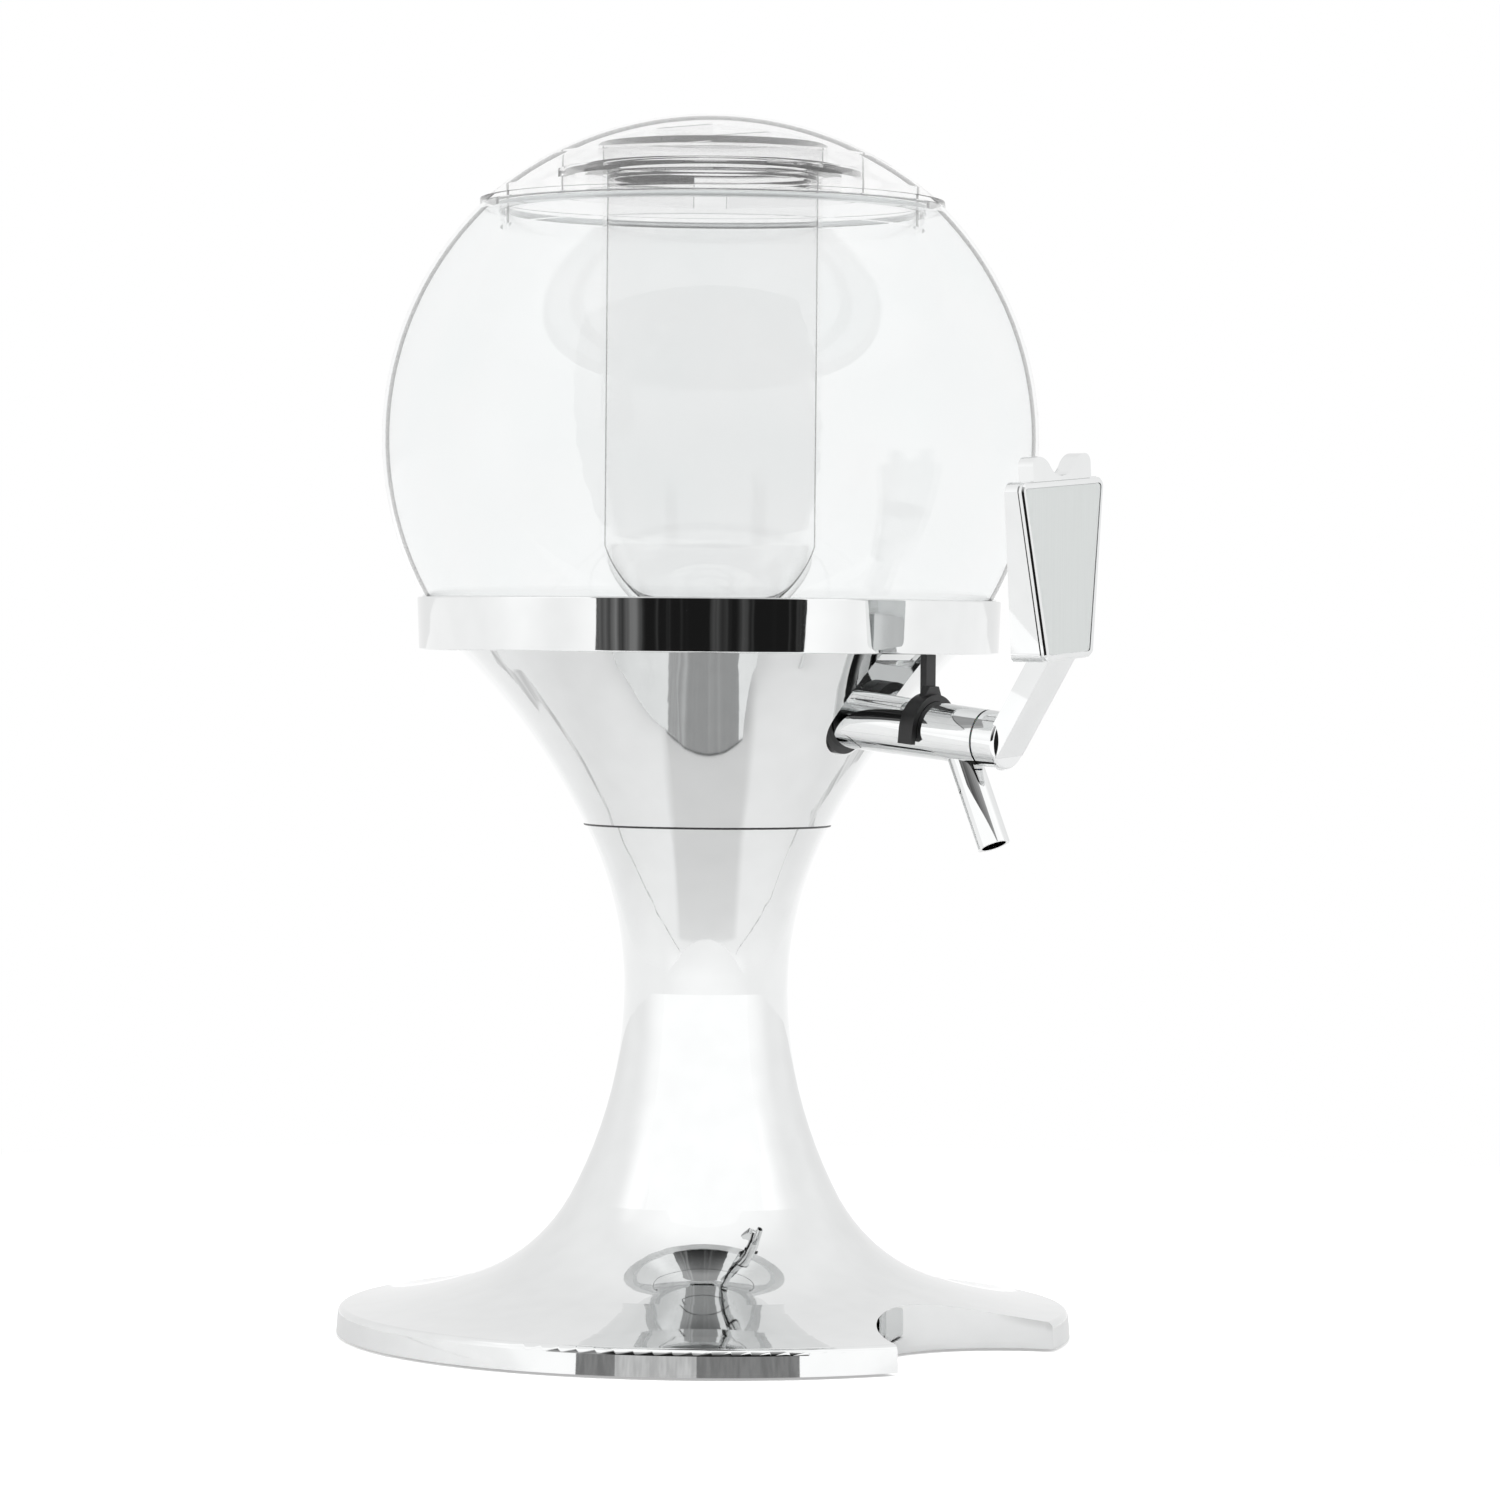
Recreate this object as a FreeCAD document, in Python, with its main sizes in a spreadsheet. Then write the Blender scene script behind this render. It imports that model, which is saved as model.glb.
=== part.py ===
import FreeCAD, Part
import math
import os
import Sketcher

# Globe drink dispenser: a chromed stand, a clear globe with a hanging ice tube, and a turning tap.
# Millimetres. Z is up, the origin is on the stand's axis at table level, and the tap points to -Y.

# The driving sizes: name, value, what it is
SIZES = [
    ("feet_proud", 1.0, "how far the rubber feet lift the stand"),
    ("foot_radius", 126.4, "outer radius of the round foot"),
    ("foot_rim_top", 10.3, "top of the foot's upright rim"),
    ("foot_rim_round", 2.4, "rounding of the rim's top edge"),
    ("foot_rim_draft", 0.5, "how much the rim narrows to its top"),
    ("foot_slope_bend", 214.0, "bend of the foot's shallow outer slope"),
    ("foot_knee_radius", 81.0, "radius where the slope starts to climb"),
    ("foot_knee_height", 19.4, "height where the slope starts to climb"),
    ("foot_knee_bend", 60.4, "bend of the climb into the stem"),
    ("stem_root_radius", 47.0, "stem radius above the climb"),
    ("stem_root_height", 47.1, "height above the climb"),
    ("stem_lower_bend", 152.8, "bend of the stem's lower half"),
    ("waist_radius", 28.4, "stem radius at the waist"),
    ("waist_height", 118.9, "height of the waist"),
    ("stem_upper_bend", 122.0, "bend of the stem's upper half"),
    ("joint_radius", 42.4, "radius where stand and funnel meet"),
    ("joint_height", 176.0, "height where stand and funnel meet"),
    ("shell_wall", 2.4, "wall of the plated mouldings"),
    ("joint_step", 3.8, "step from the joint in to the plug on the stand's top"),
    ("spigot_height", 12.0, "how deep the plug enters the funnel"),
    ("lift_clearance", 0.3, "gap round parts that lift off"),
    ("notch_radius", 45.0, "bay in the foot where the glass stands"),
    ("notch_out", 7.1, "centre of that bay outside the foot's rim"),
    ("plate_thickness", 3.0, "cover plate under the foot"),
    ("fit_gap", 0.2, "gap round fixed parts"),
    ("foot_pads", 5.0, "number of rubber feet"),
    ("pad_inset", 18.4, "rubber feet in from the foot's rim"),
    ("pad_radius", 8.0, "radius of a rubber foot"),
    ("pad_seat", 0.8, "depth of a foot's seat in the plate"),
    ("plate_screws", 5.0, "number of plate screws"),
    ("screw_inset", 13.0, "plate screws in from the foot's climb"),
    ("screw_radius", 1.5, "screw shank radius"),
    ("screw_length", 11.0, "screw shank length"),
    ("screw_head_radius", 2.9, "screw head radius"),
    ("screw_head_height", 1.6, "screw head height"),
    ("boss_radius", 4.2, "screw boss radius"),
    ("funnel_bend", 226.0, "bend of the funnel's side"),
    ("collar_overhang", 13.6, "collar's side outside the funnel's top"),
    ("shelf_spread", 5.1, "inner corner above the socket, out from the joint"),
    ("shelf_thickness", 2.6, "shelf the funnel rests on the plug with"),
    ("funnel_height", 59.3, "funnel from the joint to the collar"),
    ("collar_wall", 1.55, "wall of the collar round the globe"),
    ("collar_draft", 0.7, "how much the collar narrows to its foot"),
    ("collar_height", 18.3, "height of the collar"),
    ("collar_round", 0.6, "rounding of the collar's edges"),
    ("collar_floor", 3.0, "thickness of the collar's floor"),
    ("collar_lip", 2.0, "lip of the collar inside the funnel"),
    ("lip_taper", 1.1, "how fast that lip narrows with depth"),
    ("lip_wall", 1.6, "thickness of that lip at its foot"),
    ("seal_width", 6.0, "width of the flat seal under the globe"),
    ("seal_thickness", 1.0, "flat seal under the globe"),
    ("globe_radius", 112.9, "outer radius of the globe"),
    ("ledge_inset", 23.7, "globe's ledge in from its widest radius"),
    ("globe_wall", 2.4, "wall of the globe"),
    ("ledge_width", 9.7, "width of that ledge"),
    ("sump_spread", 6.5, "sump's floor out from the funnel's inner corner"),
    ("sump_depth", 36.5, "underside of the sump's floor below the collar"),
    ("sump_corner", 3.0, "rounding of the sump's floor"),
    ("mouth_rim", 79.56, "outer radius of the globe's mouth"),
    ("mouth_lip", 6.06, "width of the mouth's lip"),
    ("tap_droop", 5.5, "fall of the tap's barrel, degrees"),
    ("tap_sink", 1.02, "barrel's root inside the sump's side"),
    ("tap_drop", 21.7, "barrel's root below the collar"),
    ("slot_half_width", 12.6, "half width of the slot for the barrel"),
    ("pocket_wall", 1.8, "wall of the plated pocket behind the slot"),
    ("grommet_thickness", 4.2, "rubber grommet behind the barrel"),
    ("grommet_radius", 12.2, "radius of the grommet"),
    ("shank_radius", 5.5, "threaded shank of the tap"),
    ("inner_washer_thickness", 1.5, "washer inside the globe"),
    ("inner_washer_radius", 7.8, "radius of that washer"),
    ("nut_thickness", 5.0, "nut inside the globe"),
    ("nut_radius", 9.0, "corner radius of the nut"),
    ("shank_spare", 2.0, "shank past the nut"),
    ("barrel_length", 59.6, "barrel from root to seam"),
    ("barrel_root_radius", 10.0, "barrel radius at its root"),
    ("barrel_end_radius", 9.5, "barrel radius at the seam"),
    ("flow_radius", 3.5, "bore that the drink runs through"),
    ("plug_radius", 7.0, "bore for the turning plug"),
    ("plug_depth", 23.6, "depth of that bore"),
    ("running_gap", 0.05, "radial gap of the turning plug"),
    ("spout_back", 12.8, "spout back from the seam"),
    ("spout_slant", 29.3, "slant of the spout, degrees"),
    ("spout_length", 40.3, "spout from the barrel's axis"),
    ("spout_radius", 5.5, "outer radius of the spout"),
    ("spout_bore", 4.2, "bore of the spout"),
    ("ring_section", 0.6, "section radius of the seal rings"),
    ("ring_inset", 3.2, "seal rings in from the ends of the plug's bore"),
    ("ring_groove_width", 1.8, "width of a ring groove"),
    ("drive_radius", 4.5, "shaft that carries the lever's cap"),
    ("drive_length", 5.0, "length of that shaft"),
    ("lever_turn", 4.5, "turn of the lever in this pose, degrees"),
    ("seam_gap", 0.8, "gap between barrel and cap"),
    ("cap_length", 8.9, "length of the lever's cap"),
    ("cap_radius", 9.5, "radius of the lever's cap"),
    ("cap_round", 1.2, "rounding of the cap's end"),
    ("arm_slant", 30.0, "slant of the lever's arm, degrees"),
    ("arm_width", 14.8, "width of the arm"),
    ("arm_thickness", 7.2, "thickness of the arm"),
    ("arm_length", 39.0, "arm from its round end into the handle"),
    ("arm_sink", 5.2, "arm's back inside the cap's end"),
    ("arm_bite", 2.4, "arm's end above the handle's foot"),
    ("handle_front", 6.0, "handle's face in front of the arm's end"),
    ("handle_height", 59.1, "height of the handle"),
    ("handle_foot_width", 26.3, "width of the handle's foot"),
    ("handle_head_width", 45.8, "width of the handle's head"),
    ("handle_foot_depth", 14.3, "depth of the handle's foot"),
    ("handle_head_depth", 6.9, "depth of the handle's head"),
    ("handle_corner", 3.0, "rounding of the handle's corners"),
    ("face_depth", 2.0, "thickness of the handle's front frame"),
    ("face_edge", 0.6, "bevel round the front frame"),
    ("face_line", 0.3, "shadow line between frame and body"),
    ("panel_inset", 2.1, "width of the frame round the panel"),
    ("panel_seat", 1.0, "depth of the panel's seat"),
    ("panel_thickness", 0.8, "thickness of the panel"),
    ("horn_width", 31.2, "width of the crest on the handle"),
    ("horn_height", 7.9, "height of the crest"),
    ("horn_setback", 0.4, "crest behind the face, and in front of the back"),
    ("horn_round", 3.0, "rounding of the horns' outer edges"),
    ("scoop_depth", 6.8, "depth of the scoop between the horns"),
    ("clip_inset", 4.8, "support clip in from the collar's side"),
    ("clip_width", 5.7, "width of the clip along the barrel"),
    ("clip_gap", 0.1, "gap between clip and barrel"),
    ("clip_wall", 2.17, "wall of the clip's saddle"),
    ("clip_leg", 4.7, "legs of the saddle below the axis"),
    ("strap_width", 5.0, "width of the clip's strap"),
    ("strap_thickness", 2.6, "thickness of the clip's strap"),
    ("gusset_rise", 2.6, "clip's gusset above the saddle"),
    ("gusset_width", 13.0, "foot of that gusset"),
    ("gusset_spread", 45.0, "where the gusset meets the saddle, degrees"),
    ("stud_radius", 1.4, "stud that holds the strap to the collar"),
    ("stud_length", 2.4, "length of that stud"),
    ("lid_overlap", 6.5, "lid's rim out from the mouth's bore"),
    ("lid_edge", 1.6, "thickness of the lid's rim"),
    ("rim_land", 1.85, "flat of the lid's rim outside its dome"),
    ("lid_bend", 118.0, "outer radius of the lid's dome"),
    ("lid_wall", 2.0, "wall of the lid"),
    ("lid_skirt_wall", 3.0, "wall of the lid's skirt"),
    ("lid_skirt_gap", 0.5, "gap between skirt and mouth"),
    ("lid_skirt_depth", 8.0, "skirt below the rim"),
    ("lid_ring_section", 1.0, "section radius of the lid's seal ring"),
    ("holder_spread", 9.4, "ice tube's holder out from its cap"),
    ("holder_skirt", 6.0, "holder below the ice tube's flange"),
    ("lug_count", 3.0, "number of bayonet lugs"),
    ("lug_span", 12.0, "angle of a lug, degrees"),
    ("twist_span", 35.0, "turn that frees the ice tube, degrees"),
    ("lug_gap", 0.3, "gap round the lugs"),
    ("lug_root", 1.2, "lug's root inside the holder's bore"),
    ("holder_drop", 22.0, "ice tube's flange below the lid's top"),
    ("flange_thickness", 2.4, "thickness of that flange"),
    ("tube_radius", 37.9, "outer radius of the ice tube"),
    ("tube_wall", 2.0, "wall of the ice tube"),
    ("tube_rise", 21.0, "height of the tube's narrowing foot"),
    ("tube_foot_inset", 13.9, "tube's flat foot in from its side"),
    ("tube_length", 147.0, "ice tube below its flange"),
    ("tube_foot_bend", 40.0, "bend between side and foot"),
    ("cap_step", 4.5, "tube cap's raised top in from its rim"),
    ("hat_drop", 10.5, "tube cap's top below the lid's top"),
    ("cap_brim", 6.1, "tube cap's rim out from the tube"),
    ("cap_plug_depth", 4.0, "how deep the cap plugs the tube"),
    ("grip_spacing", 31.0, "spacing of the two grip ribs"),
    ("grip_thickness", 2.0, "thickness of a grip rib"),
    ("grip_length", 24.0, "length of a grip rib"),
    ("grip_clearance", 1.1, "gap between grip ribs and dome"),
    ("cut_margin", 1.0, "how far a small cutter runs past its piece"),
    ("cut_over", 5.0, "how far a large cutter runs past its piece"),
]

doc = FreeCAD.newDocument("globe_dispenser")
sheet = doc.addObject("Spreadsheet::Sheet", "Sizes")
for row, (alias, value, note) in enumerate(SIZES, 1):
    sheet.set(f"A{row}", alias)
    sheet.set(f"B{row}", str(value))
    sheet.set(f"C{row}", note)
    sheet.setAlias(f"B{row}", alias)
doc.recompute()


class Size:
    """A size twice over: its number now, and the sheet expression that it follows."""

    def __init__(self, value, text):
        self.value = value
        self.text = text

    def __add__(self, other):
        other = as_size(other)
        return Size(self.value + other.value, f"({self.text} + {other.text})")

    def __sub__(self, other):
        other = as_size(other)
        return Size(self.value - other.value, f"({self.text} - {other.text})")

    def __mul__(self, other):
        other = as_size(other)
        return Size(self.value * other.value, f"({self.text} * {other.text})")

    def __truediv__(self, other):
        other = as_size(other)
        return Size(self.value / other.value, f"({self.text} / {other.text})")

    def __neg__(self):
        return as_size(0) - self


def as_size(number):
    """A plain number as a size."""
    if isinstance(number, Size):
        return number
    return Size(float(number), str(number))


def root(square):
    """Square root of a size."""
    return Size(math.sqrt(square.value), f"sqrt({square.text})")


def sine(angle):
    """Sine of an angle in degrees."""
    return Size(math.sin(math.radians(angle.value)), f"sin({angle.text} * 1 deg)")


def cosine(angle):
    """Cosine of an angle in degrees."""
    return Size(math.cos(math.radians(angle.value)), f"cos({angle.text} * 1 deg)")


class Sheet:
    """Reads each size by its name."""


size = Sheet()
for alias, value, note in SIZES:
    setattr(size, alias, Size(value, f"Sizes.{alias}"))

nodes = []


def node(item, label):
    """Marks an object as a finished piece, under the name of its file."""
    item.Label = label
    nodes.append(item)
    return item


def turned(axis, angle, shift=(0, 0, 0)):
    """One step of a placement: a turn about an axis, then a shift."""
    spot = "; ".join(as_size(part).text for part in shift)
    about = "; ".join(str(part) for part in axis)
    turn = f"create(<<rotation>>; create(<<vector>>; {about}); {as_size(angle).text})"
    return f"create(<<placement>>; create(<<vector>>; {spot}); {turn})"


def place(item, steps):
    """Puts an object where the steps lead, outermost step first."""
    item.setExpression("Placement", " * ".join(steps))
    return item


def bend_centre(start, end, side, radius):
    """Centre of the short arc between two points, on the given side of the way."""
    across = end[0] - start[0]
    up = end[1] - start[1]
    span = math.hypot(across, up)
    reach = math.sqrt(radius ** 2 - (span / 2) ** 2) / span
    sign = 1 if side == "left" else -1
    return ((start[0] + end[0]) / 2 - sign * up * reach, (start[1] + end[1]) / 2 + sign * across * reach)


def sketch_on(body, role, corners):
    """Closed outline on a body's own plane. A corner (x, y) is reached by a line, and
    a corner (x, y, side, radius) by an arc with its centre on that side of the way."""
    sketch = body.newObject("Sketcher::SketchObject", "outline")
    plane = [feature for feature in body.Origin.OriginFeatures if feature.Role == role][0]
    sketch.AttachmentSupport = (plane, [""])
    sketch.MapMode = "FlatFace"
    corners = [tuple(part if isinstance(part, str) else as_size(part) for part in corner)
               for corner in corners]
    spots = [(corner[0].value, corner[1].value) for corner in corners]
    heads = []
    tails = []
    for index, corner in enumerate(corners):
        start = spots[index - 1]
        end = spots[index]
        if len(corner) == 2:
            line = Part.LineSegment(FreeCAD.Vector(*start, 0), FreeCAD.Vector(*end, 0))
            edge = sketch.addGeometry(line, False)
            tails.append((edge, 1))
            heads.append((edge, 2))
            continue
        side, radius = corner[2:]
        centre = bend_centre(start, end, side, radius.value)
        first, last = (start, end) if side == "left" else (end, start)
        angles = [math.atan2(spot[1] - centre[1], spot[0] - centre[0]) for spot in (first, last)]
        if angles[1] < angles[0]:
            angles[1] += 2 * math.pi
        circle = Part.Circle(FreeCAD.Vector(*centre, 0), FreeCAD.Vector(0, 0, 1), radius.value)
        edge = sketch.addGeometry(Part.ArcOfCircle(circle, *angles), False)
        tails.append((edge, 1 if side == "left" else 2))
        heads.append((edge, 2 if side == "left" else 1))
        bend = sketch.addConstraint(Sketcher.Constraint("Radius", edge, radius.value))
        sketch.setExpression(f"Constraints[{bend}]", radius.text)
    for index, corner in enumerate(corners):
        leaving = tails[(index + 1) % len(corners)]
        sketch.addConstraint(Sketcher.Constraint("Coincident", *heads[index], *leaving))
        for kind, axis, part in (("DistanceX", -2, corner[0]), ("DistanceY", -1, corner[1])):
            if part.text == "0":
                sketch.addConstraint(Sketcher.Constraint("PointOnObject", *heads[index], axis))
                continue
            spot = sketch.addConstraint(Sketcher.Constraint(kind, -1, 1, *heads[index], part.value))
            sketch.setExpression(f"Constraints[{spot}]", part.text)
    return sketch


def revolved(label, corners, angle=360):
    """Body turned from an outline of (radius, height) corners."""
    body = doc.addObject("PartDesign::Body", label)
    sketch = sketch_on(body, "XZ_Plane", corners)
    turn = body.newObject("PartDesign::Revolution", "turn")
    turn.Profile = sketch
    turn.ReferenceAxis = (sketch, ["V_Axis"])
    turn.setExpression("Angle", as_size(angle).text)
    body.Tip = turn
    return body


def padded(label, role, corners, depth, both_ways=False):
    """Body raised from an outline by a depth."""
    body = doc.addObject("PartDesign::Body", label)
    sketch = sketch_on(body, role, corners)
    pad = body.newObject("PartDesign::Pad", "pad")
    pad.Profile = sketch
    if both_ways:
        pad.SideType = "Symmetric"
    pad.setExpression("Length", as_size(depth).text)
    body.Tip = pad
    return body


def rod(label, radius, length, steps):
    """Plain cylinder along Z, put in place by the steps."""
    item = doc.addObject("Part::Cylinder", label)
    item.setExpression("Radius", as_size(radius).text)
    item.setExpression("Height", as_size(length).text)
    return place(item, steps)


def block(label, sides, steps):
    """Plain box from its lowest corner, put in place by the steps."""
    item = doc.addObject("Part::Box", label)
    for name, side in zip(("Length", "Width", "Height"), sides):
        item.setExpression(name, as_size(side).text)
    return place(item, steps)


def cut(label, base, *tools):
    """Base with each tool taken away."""
    for index, tool in enumerate(tools):
        item = doc.addObject("Part::Cut", f"{label}_{index}")
        item.Base = base
        item.Tool = tool
        base = item
    return base


def joined(label, *items):
    """Items grown into one solid."""
    item = doc.addObject("Part::MultiFuse", label)
    item.Shapes = list(items)
    return item


def group(label, items):
    """Separate solids kept as one set."""
    item = doc.addObject("Part::Compound", label)
    item.Links = list(items)
    return item


def shared(label, first, second):
    """What two items have in common."""
    item = doc.addObject("Part::Common", label)
    item.Base = first
    item.Tool = second
    return item


UP = (0, 0, 1)
ACROSS = (1, 0, 0)
ALONG = (0, 1, 0)
QUARTER = as_size(90)


def on_circle(count, radius, height):
    """Placement steps of evenly spaced spots, clear of the glass bay at the front."""
    number = int(count.value)
    pitch = as_size(360) / count
    return [[turned(UP, pitch * (index + 0.5) - QUARTER), turned(UP, 0, (radius, 0, height))]
            for index in range(number)]


# The stand: one plated moulding with a hollow foot and stem, open below
rim_radius = size.foot_radius - size.foot_rim_draft
foot_curve = [
    (rim_radius, size.foot_rim_top - size.foot_rim_round),
    (rim_radius - size.foot_rim_round, size.foot_rim_top, "left", size.foot_rim_round),
    (size.foot_knee_radius, size.foot_knee_height, "right", size.foot_slope_bend),
    (size.stem_root_radius, size.stem_root_height, "right", size.foot_knee_bend),
    (size.waist_radius, size.waist_height, "right", size.stem_lower_bend),
    (size.joint_radius, size.joint_height, "right", size.stem_upper_bend),
]
spigot_radius = size.joint_radius - size.joint_step
spigot_top = size.joint_height + size.spigot_height
stand_foot = [(0, size.feet_proud), (size.foot_radius, size.feet_proud)]
stand_solid = revolved("stand_solid", stand_foot + foot_curve + [
    (spigot_radius, size.joint_height),
    (spigot_radius, spigot_top),
    (0, spigot_top),
])
spigot_bore = spigot_radius - size.shell_wall
plate_top = size.feet_proud + size.plate_thickness
stand_hollow = revolved("stand_hollow", [
    (0, size.feet_proud - size.cut_over),
    (size.foot_radius - size.shell_wall, size.feet_proud - size.cut_over),
    (size.foot_radius - size.shell_wall, plate_top),
    (rim_radius - size.shell_wall, size.foot_rim_top - size.shell_wall),
    (size.foot_knee_radius, size.foot_knee_height - size.shell_wall, "right", size.foot_slope_bend),
    (size.stem_root_radius - size.shell_wall, size.stem_root_height, "right",
     size.foot_knee_bend + size.shell_wall),
    (size.waist_radius - size.shell_wall, size.waist_height, "right",
     size.stem_lower_bend + size.shell_wall),
    (size.joint_radius - size.shell_wall, size.joint_height - size.shell_wall, "right",
     size.stem_upper_bend + size.shell_wall),
    (spigot_bore, size.joint_height - size.shell_wall),
    (spigot_bore, spigot_top + size.cut_over),
    (0, spigot_top + size.cut_over),
])
bay_spot = [turned(UP, 0, (0, -(size.foot_radius + size.notch_out), -size.cut_over))]
bay_height = size.stem_root_height + size.cut_over
glass_bay = rod("glass_bay", size.notch_radius, bay_height, bay_spot)
bay_wall = rod("bay_wall", size.notch_radius + size.shell_wall, bay_height, bay_spot)
screw_circle = size.foot_knee_radius - size.screw_inset
bosses = [rod("boss", size.boss_radius, size.stem_root_height, spot)
          for spot in on_circle(size.plate_screws, screw_circle, plate_top)]
pilot = [rod("pilot", size.screw_radius + size.running_gap, size.screw_length + size.cut_margin, spot)
         for spot in on_circle(size.plate_screws, screw_circle, plate_top - size.cut_margin)]
stand_room = cut("stand_room", stand_hollow, bay_wall, *bosses)
node(cut("stand_shell", stand_solid, glass_bay, stand_room, *pilot), "pedestal_shell")

# The cover plate under the foot, with seats for its feet and screws
pad_circle = size.foot_radius - size.pad_inset
plate_blank = rod("plate_blank", size.foot_radius - size.shell_wall - size.fit_gap, size.plate_thickness,
                  [turned(UP, 0, (0, 0, size.feet_proud))])
plate_bay = rod("plate_bay", size.notch_radius + size.shell_wall + size.fit_gap, bay_height, bay_spot)
pad_seats = [rod("pad_seat", size.pad_radius + size.fit_gap, size.feet_proud + size.pad_seat, spot)
             for spot in on_circle(size.foot_pads, pad_circle, 0)]
head_depth = size.screw_head_height + size.fit_gap
head_seats = [rod("head_seat", size.screw_head_radius + size.fit_gap, size.feet_proud + head_depth, spot)
              for spot in on_circle(size.plate_screws, screw_circle, 0)]
screw_way = size.plate_thickness + size.cut_margin
screw_holes = [rod("screw_hole", size.screw_radius + size.fit_gap, screw_way, spot)
               for spot in on_circle(size.plate_screws, screw_circle, size.feet_proud)]
node(cut("plate", plate_blank, plate_bay, *pad_seats, *head_seats, *screw_holes), "base_plate")

# Rubber feet pressed into the plate
node(group("feet", [rod("foot", size.pad_radius, size.feet_proud + size.pad_seat, spot)
                    for spot in on_circle(size.foot_pads, pad_circle, 0)]), "rubber_feet")

# Screws that hold the plate to the stand's bosses
screws = []
head_top = size.feet_proud + head_depth
for spot in on_circle(size.plate_screws, screw_circle, head_top - size.screw_head_height):
    head = rod("screw_head", size.screw_head_radius, size.screw_head_height, spot)
    shank = rod("screw_shank", size.screw_radius, size.screw_head_height + size.screw_length, spot)
    screws.append(joined("screw", head, shank))
node(group("screws", screws), "base_screws")

# Heights and radii of the collar, and of the globe that stands in it
collar_base = size.joint_height + size.funnel_height
collar_top = collar_base + size.collar_height
floor_top = collar_base + size.collar_floor
ledge = floor_top + size.seal_thickness
ledge_radius = size.globe_radius - size.ledge_inset
globe_centre = ledge + root(size.globe_radius * size.globe_radius - ledge_radius * ledge_radius)


def globe_radius_at(height, radius):
    """Radius of a sphere about the globe's centre at a height."""
    return root(radius * radius - (height - globe_centre) * (height - globe_centre))


collar_bore = globe_radius_at(collar_top, size.globe_radius) + size.fit_gap
collar_radius = collar_bore + size.collar_wall
funnel_top_radius = collar_radius - size.collar_overhang
funnel_shelf_radius = size.joint_radius + size.shelf_spread
sump_floor = collar_base - size.sump_depth
sump_floor_radius = funnel_shelf_radius + size.sump_spread
sump_top_radius = ledge_radius - size.ledge_width

# The tap's own frame: Z runs out along the barrel, Y is up, and X is across
tap_height = collar_base - size.tap_drop
sump_foot = sump_floor + size.sump_corner
sump_slope = (sump_top_radius - sump_floor_radius) / (ledge - sump_foot)
tap_reach = sump_floor_radius + sump_slope * (tap_height - sump_foot) - size.tap_sink
seat_depth = size.grommet_thickness + size.pocket_wall
TAP = [turned(ACROSS, size.tap_droop + QUARTER, (0, -tap_reach, tap_height))]
LEVER = TAP + [turned(UP, size.lever_turn)]


def slot_shape(label, half_width, top, start):
    """Slot with a round foot that the barrel drops into, open upwards, in the tap's frame."""
    body = padded(label, "XY_Plane", [
        (-half_width, 0),
        (0, -half_width, "left", half_width),
        (half_width, 0, "left", half_width),
        (half_width, top),
        (-half_width, top),
    ], tap_reach)
    return place(body, TAP + [turned(UP, 0, (0, 0, start))])


# The funnel: plated, stands on the plug of the stand, and has a slot with a pocket behind it for the barrel
socket_radius = spigot_radius + size.lift_clearance
socket_top = spigot_top + size.lift_clearance
shelf_top = socket_top + size.shelf_thickness
funnel_blank = revolved("funnel_blank", [
    (socket_radius, size.joint_height),
    (size.joint_radius, size.joint_height),
    (funnel_top_radius, collar_base, "right", size.funnel_bend),
    (funnel_top_radius - size.shell_wall, collar_base),
    (funnel_shelf_radius, shelf_top, "left", size.funnel_bend + size.shell_wall),
    (spigot_bore, shelf_top),
    (spigot_bore, socket_top),
    (socket_radius, socket_top),
])
funnel_slot = slot_shape("funnel_slot", size.slot_half_width, tap_reach, -seat_depth * 2)
funnel_inside = revolved("funnel_inside", [
    (0, size.joint_height),
    (size.joint_radius, size.joint_height),
    (funnel_top_radius, collar_base, "right", size.funnel_bend),
    (0, collar_base),
])
pocket_half = size.slot_half_width + size.pocket_wall
pocket_top = size.tap_drop - size.collar_lip - size.cut_margin
pocket_block = slot_shape("pocket_block", pocket_half, pocket_top, -seat_depth)
pocket_room = slot_shape("pocket_room", size.slot_half_width, tap_reach, -size.grommet_thickness)
shank_hole = rod("shank_hole", size.shank_radius + size.fit_gap, seat_depth,
                 TAP + [turned(UP, 0, (0, 0, -seat_depth))])
pocket = cut("pocket", shared("pocket_inside", pocket_block, funnel_inside), pocket_room, shank_hole)
node(joined("funnel", cut("funnel_side", funnel_blank, funnel_slot), pocket), "funnel_shell")

# The collar: plated ring that closes the funnel and carries the globe
collar_foot = collar_radius - size.collar_draft
lip_radius = funnel_top_radius - size.shell_wall - size.fit_gap
lip_foot = lip_radius - size.collar_lip * size.lip_taper
lip_bore = lip_foot - size.lip_wall
collar_blank = revolved("collar_blank", [
    (collar_foot, collar_base + size.collar_round, "left", size.collar_round),
    (collar_radius, collar_top - size.collar_round),
    (collar_radius - size.collar_round, collar_top, "left", size.collar_round),
    (collar_bore, collar_top),
    (collar_bore - size.collar_draft, floor_top),
    (lip_bore, floor_top),
    (lip_bore, collar_base - size.collar_lip),
    (lip_foot, collar_base - size.collar_lip),
    (lip_radius, collar_base),
    (collar_foot - size.collar_round, collar_base),
])
clip_out = collar_radius - size.clip_inset
clip_place = (clip_out - tap_reach) / cosine(size.tap_droop)
clip_height = tap_height - clip_place * sine(size.tap_droop)
stud_hole = rod("stud_hole", size.stud_radius + size.running_gap, size.collar_floor * 3,
                [turned(UP, 0, (0, -clip_out, collar_base - size.collar_floor))])
node(cut("collar", collar_blank, stud_hole), "collar_ring")

# Flat rubber seal that the globe stands on
seal = revolved("seal", [
    (lip_bore, floor_top),
    (lip_bore + size.seal_width, floor_top),
    (lip_bore + size.seal_width, ledge),
    (lip_bore, ledge),
])
node(seal, "globe_seal")

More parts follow.
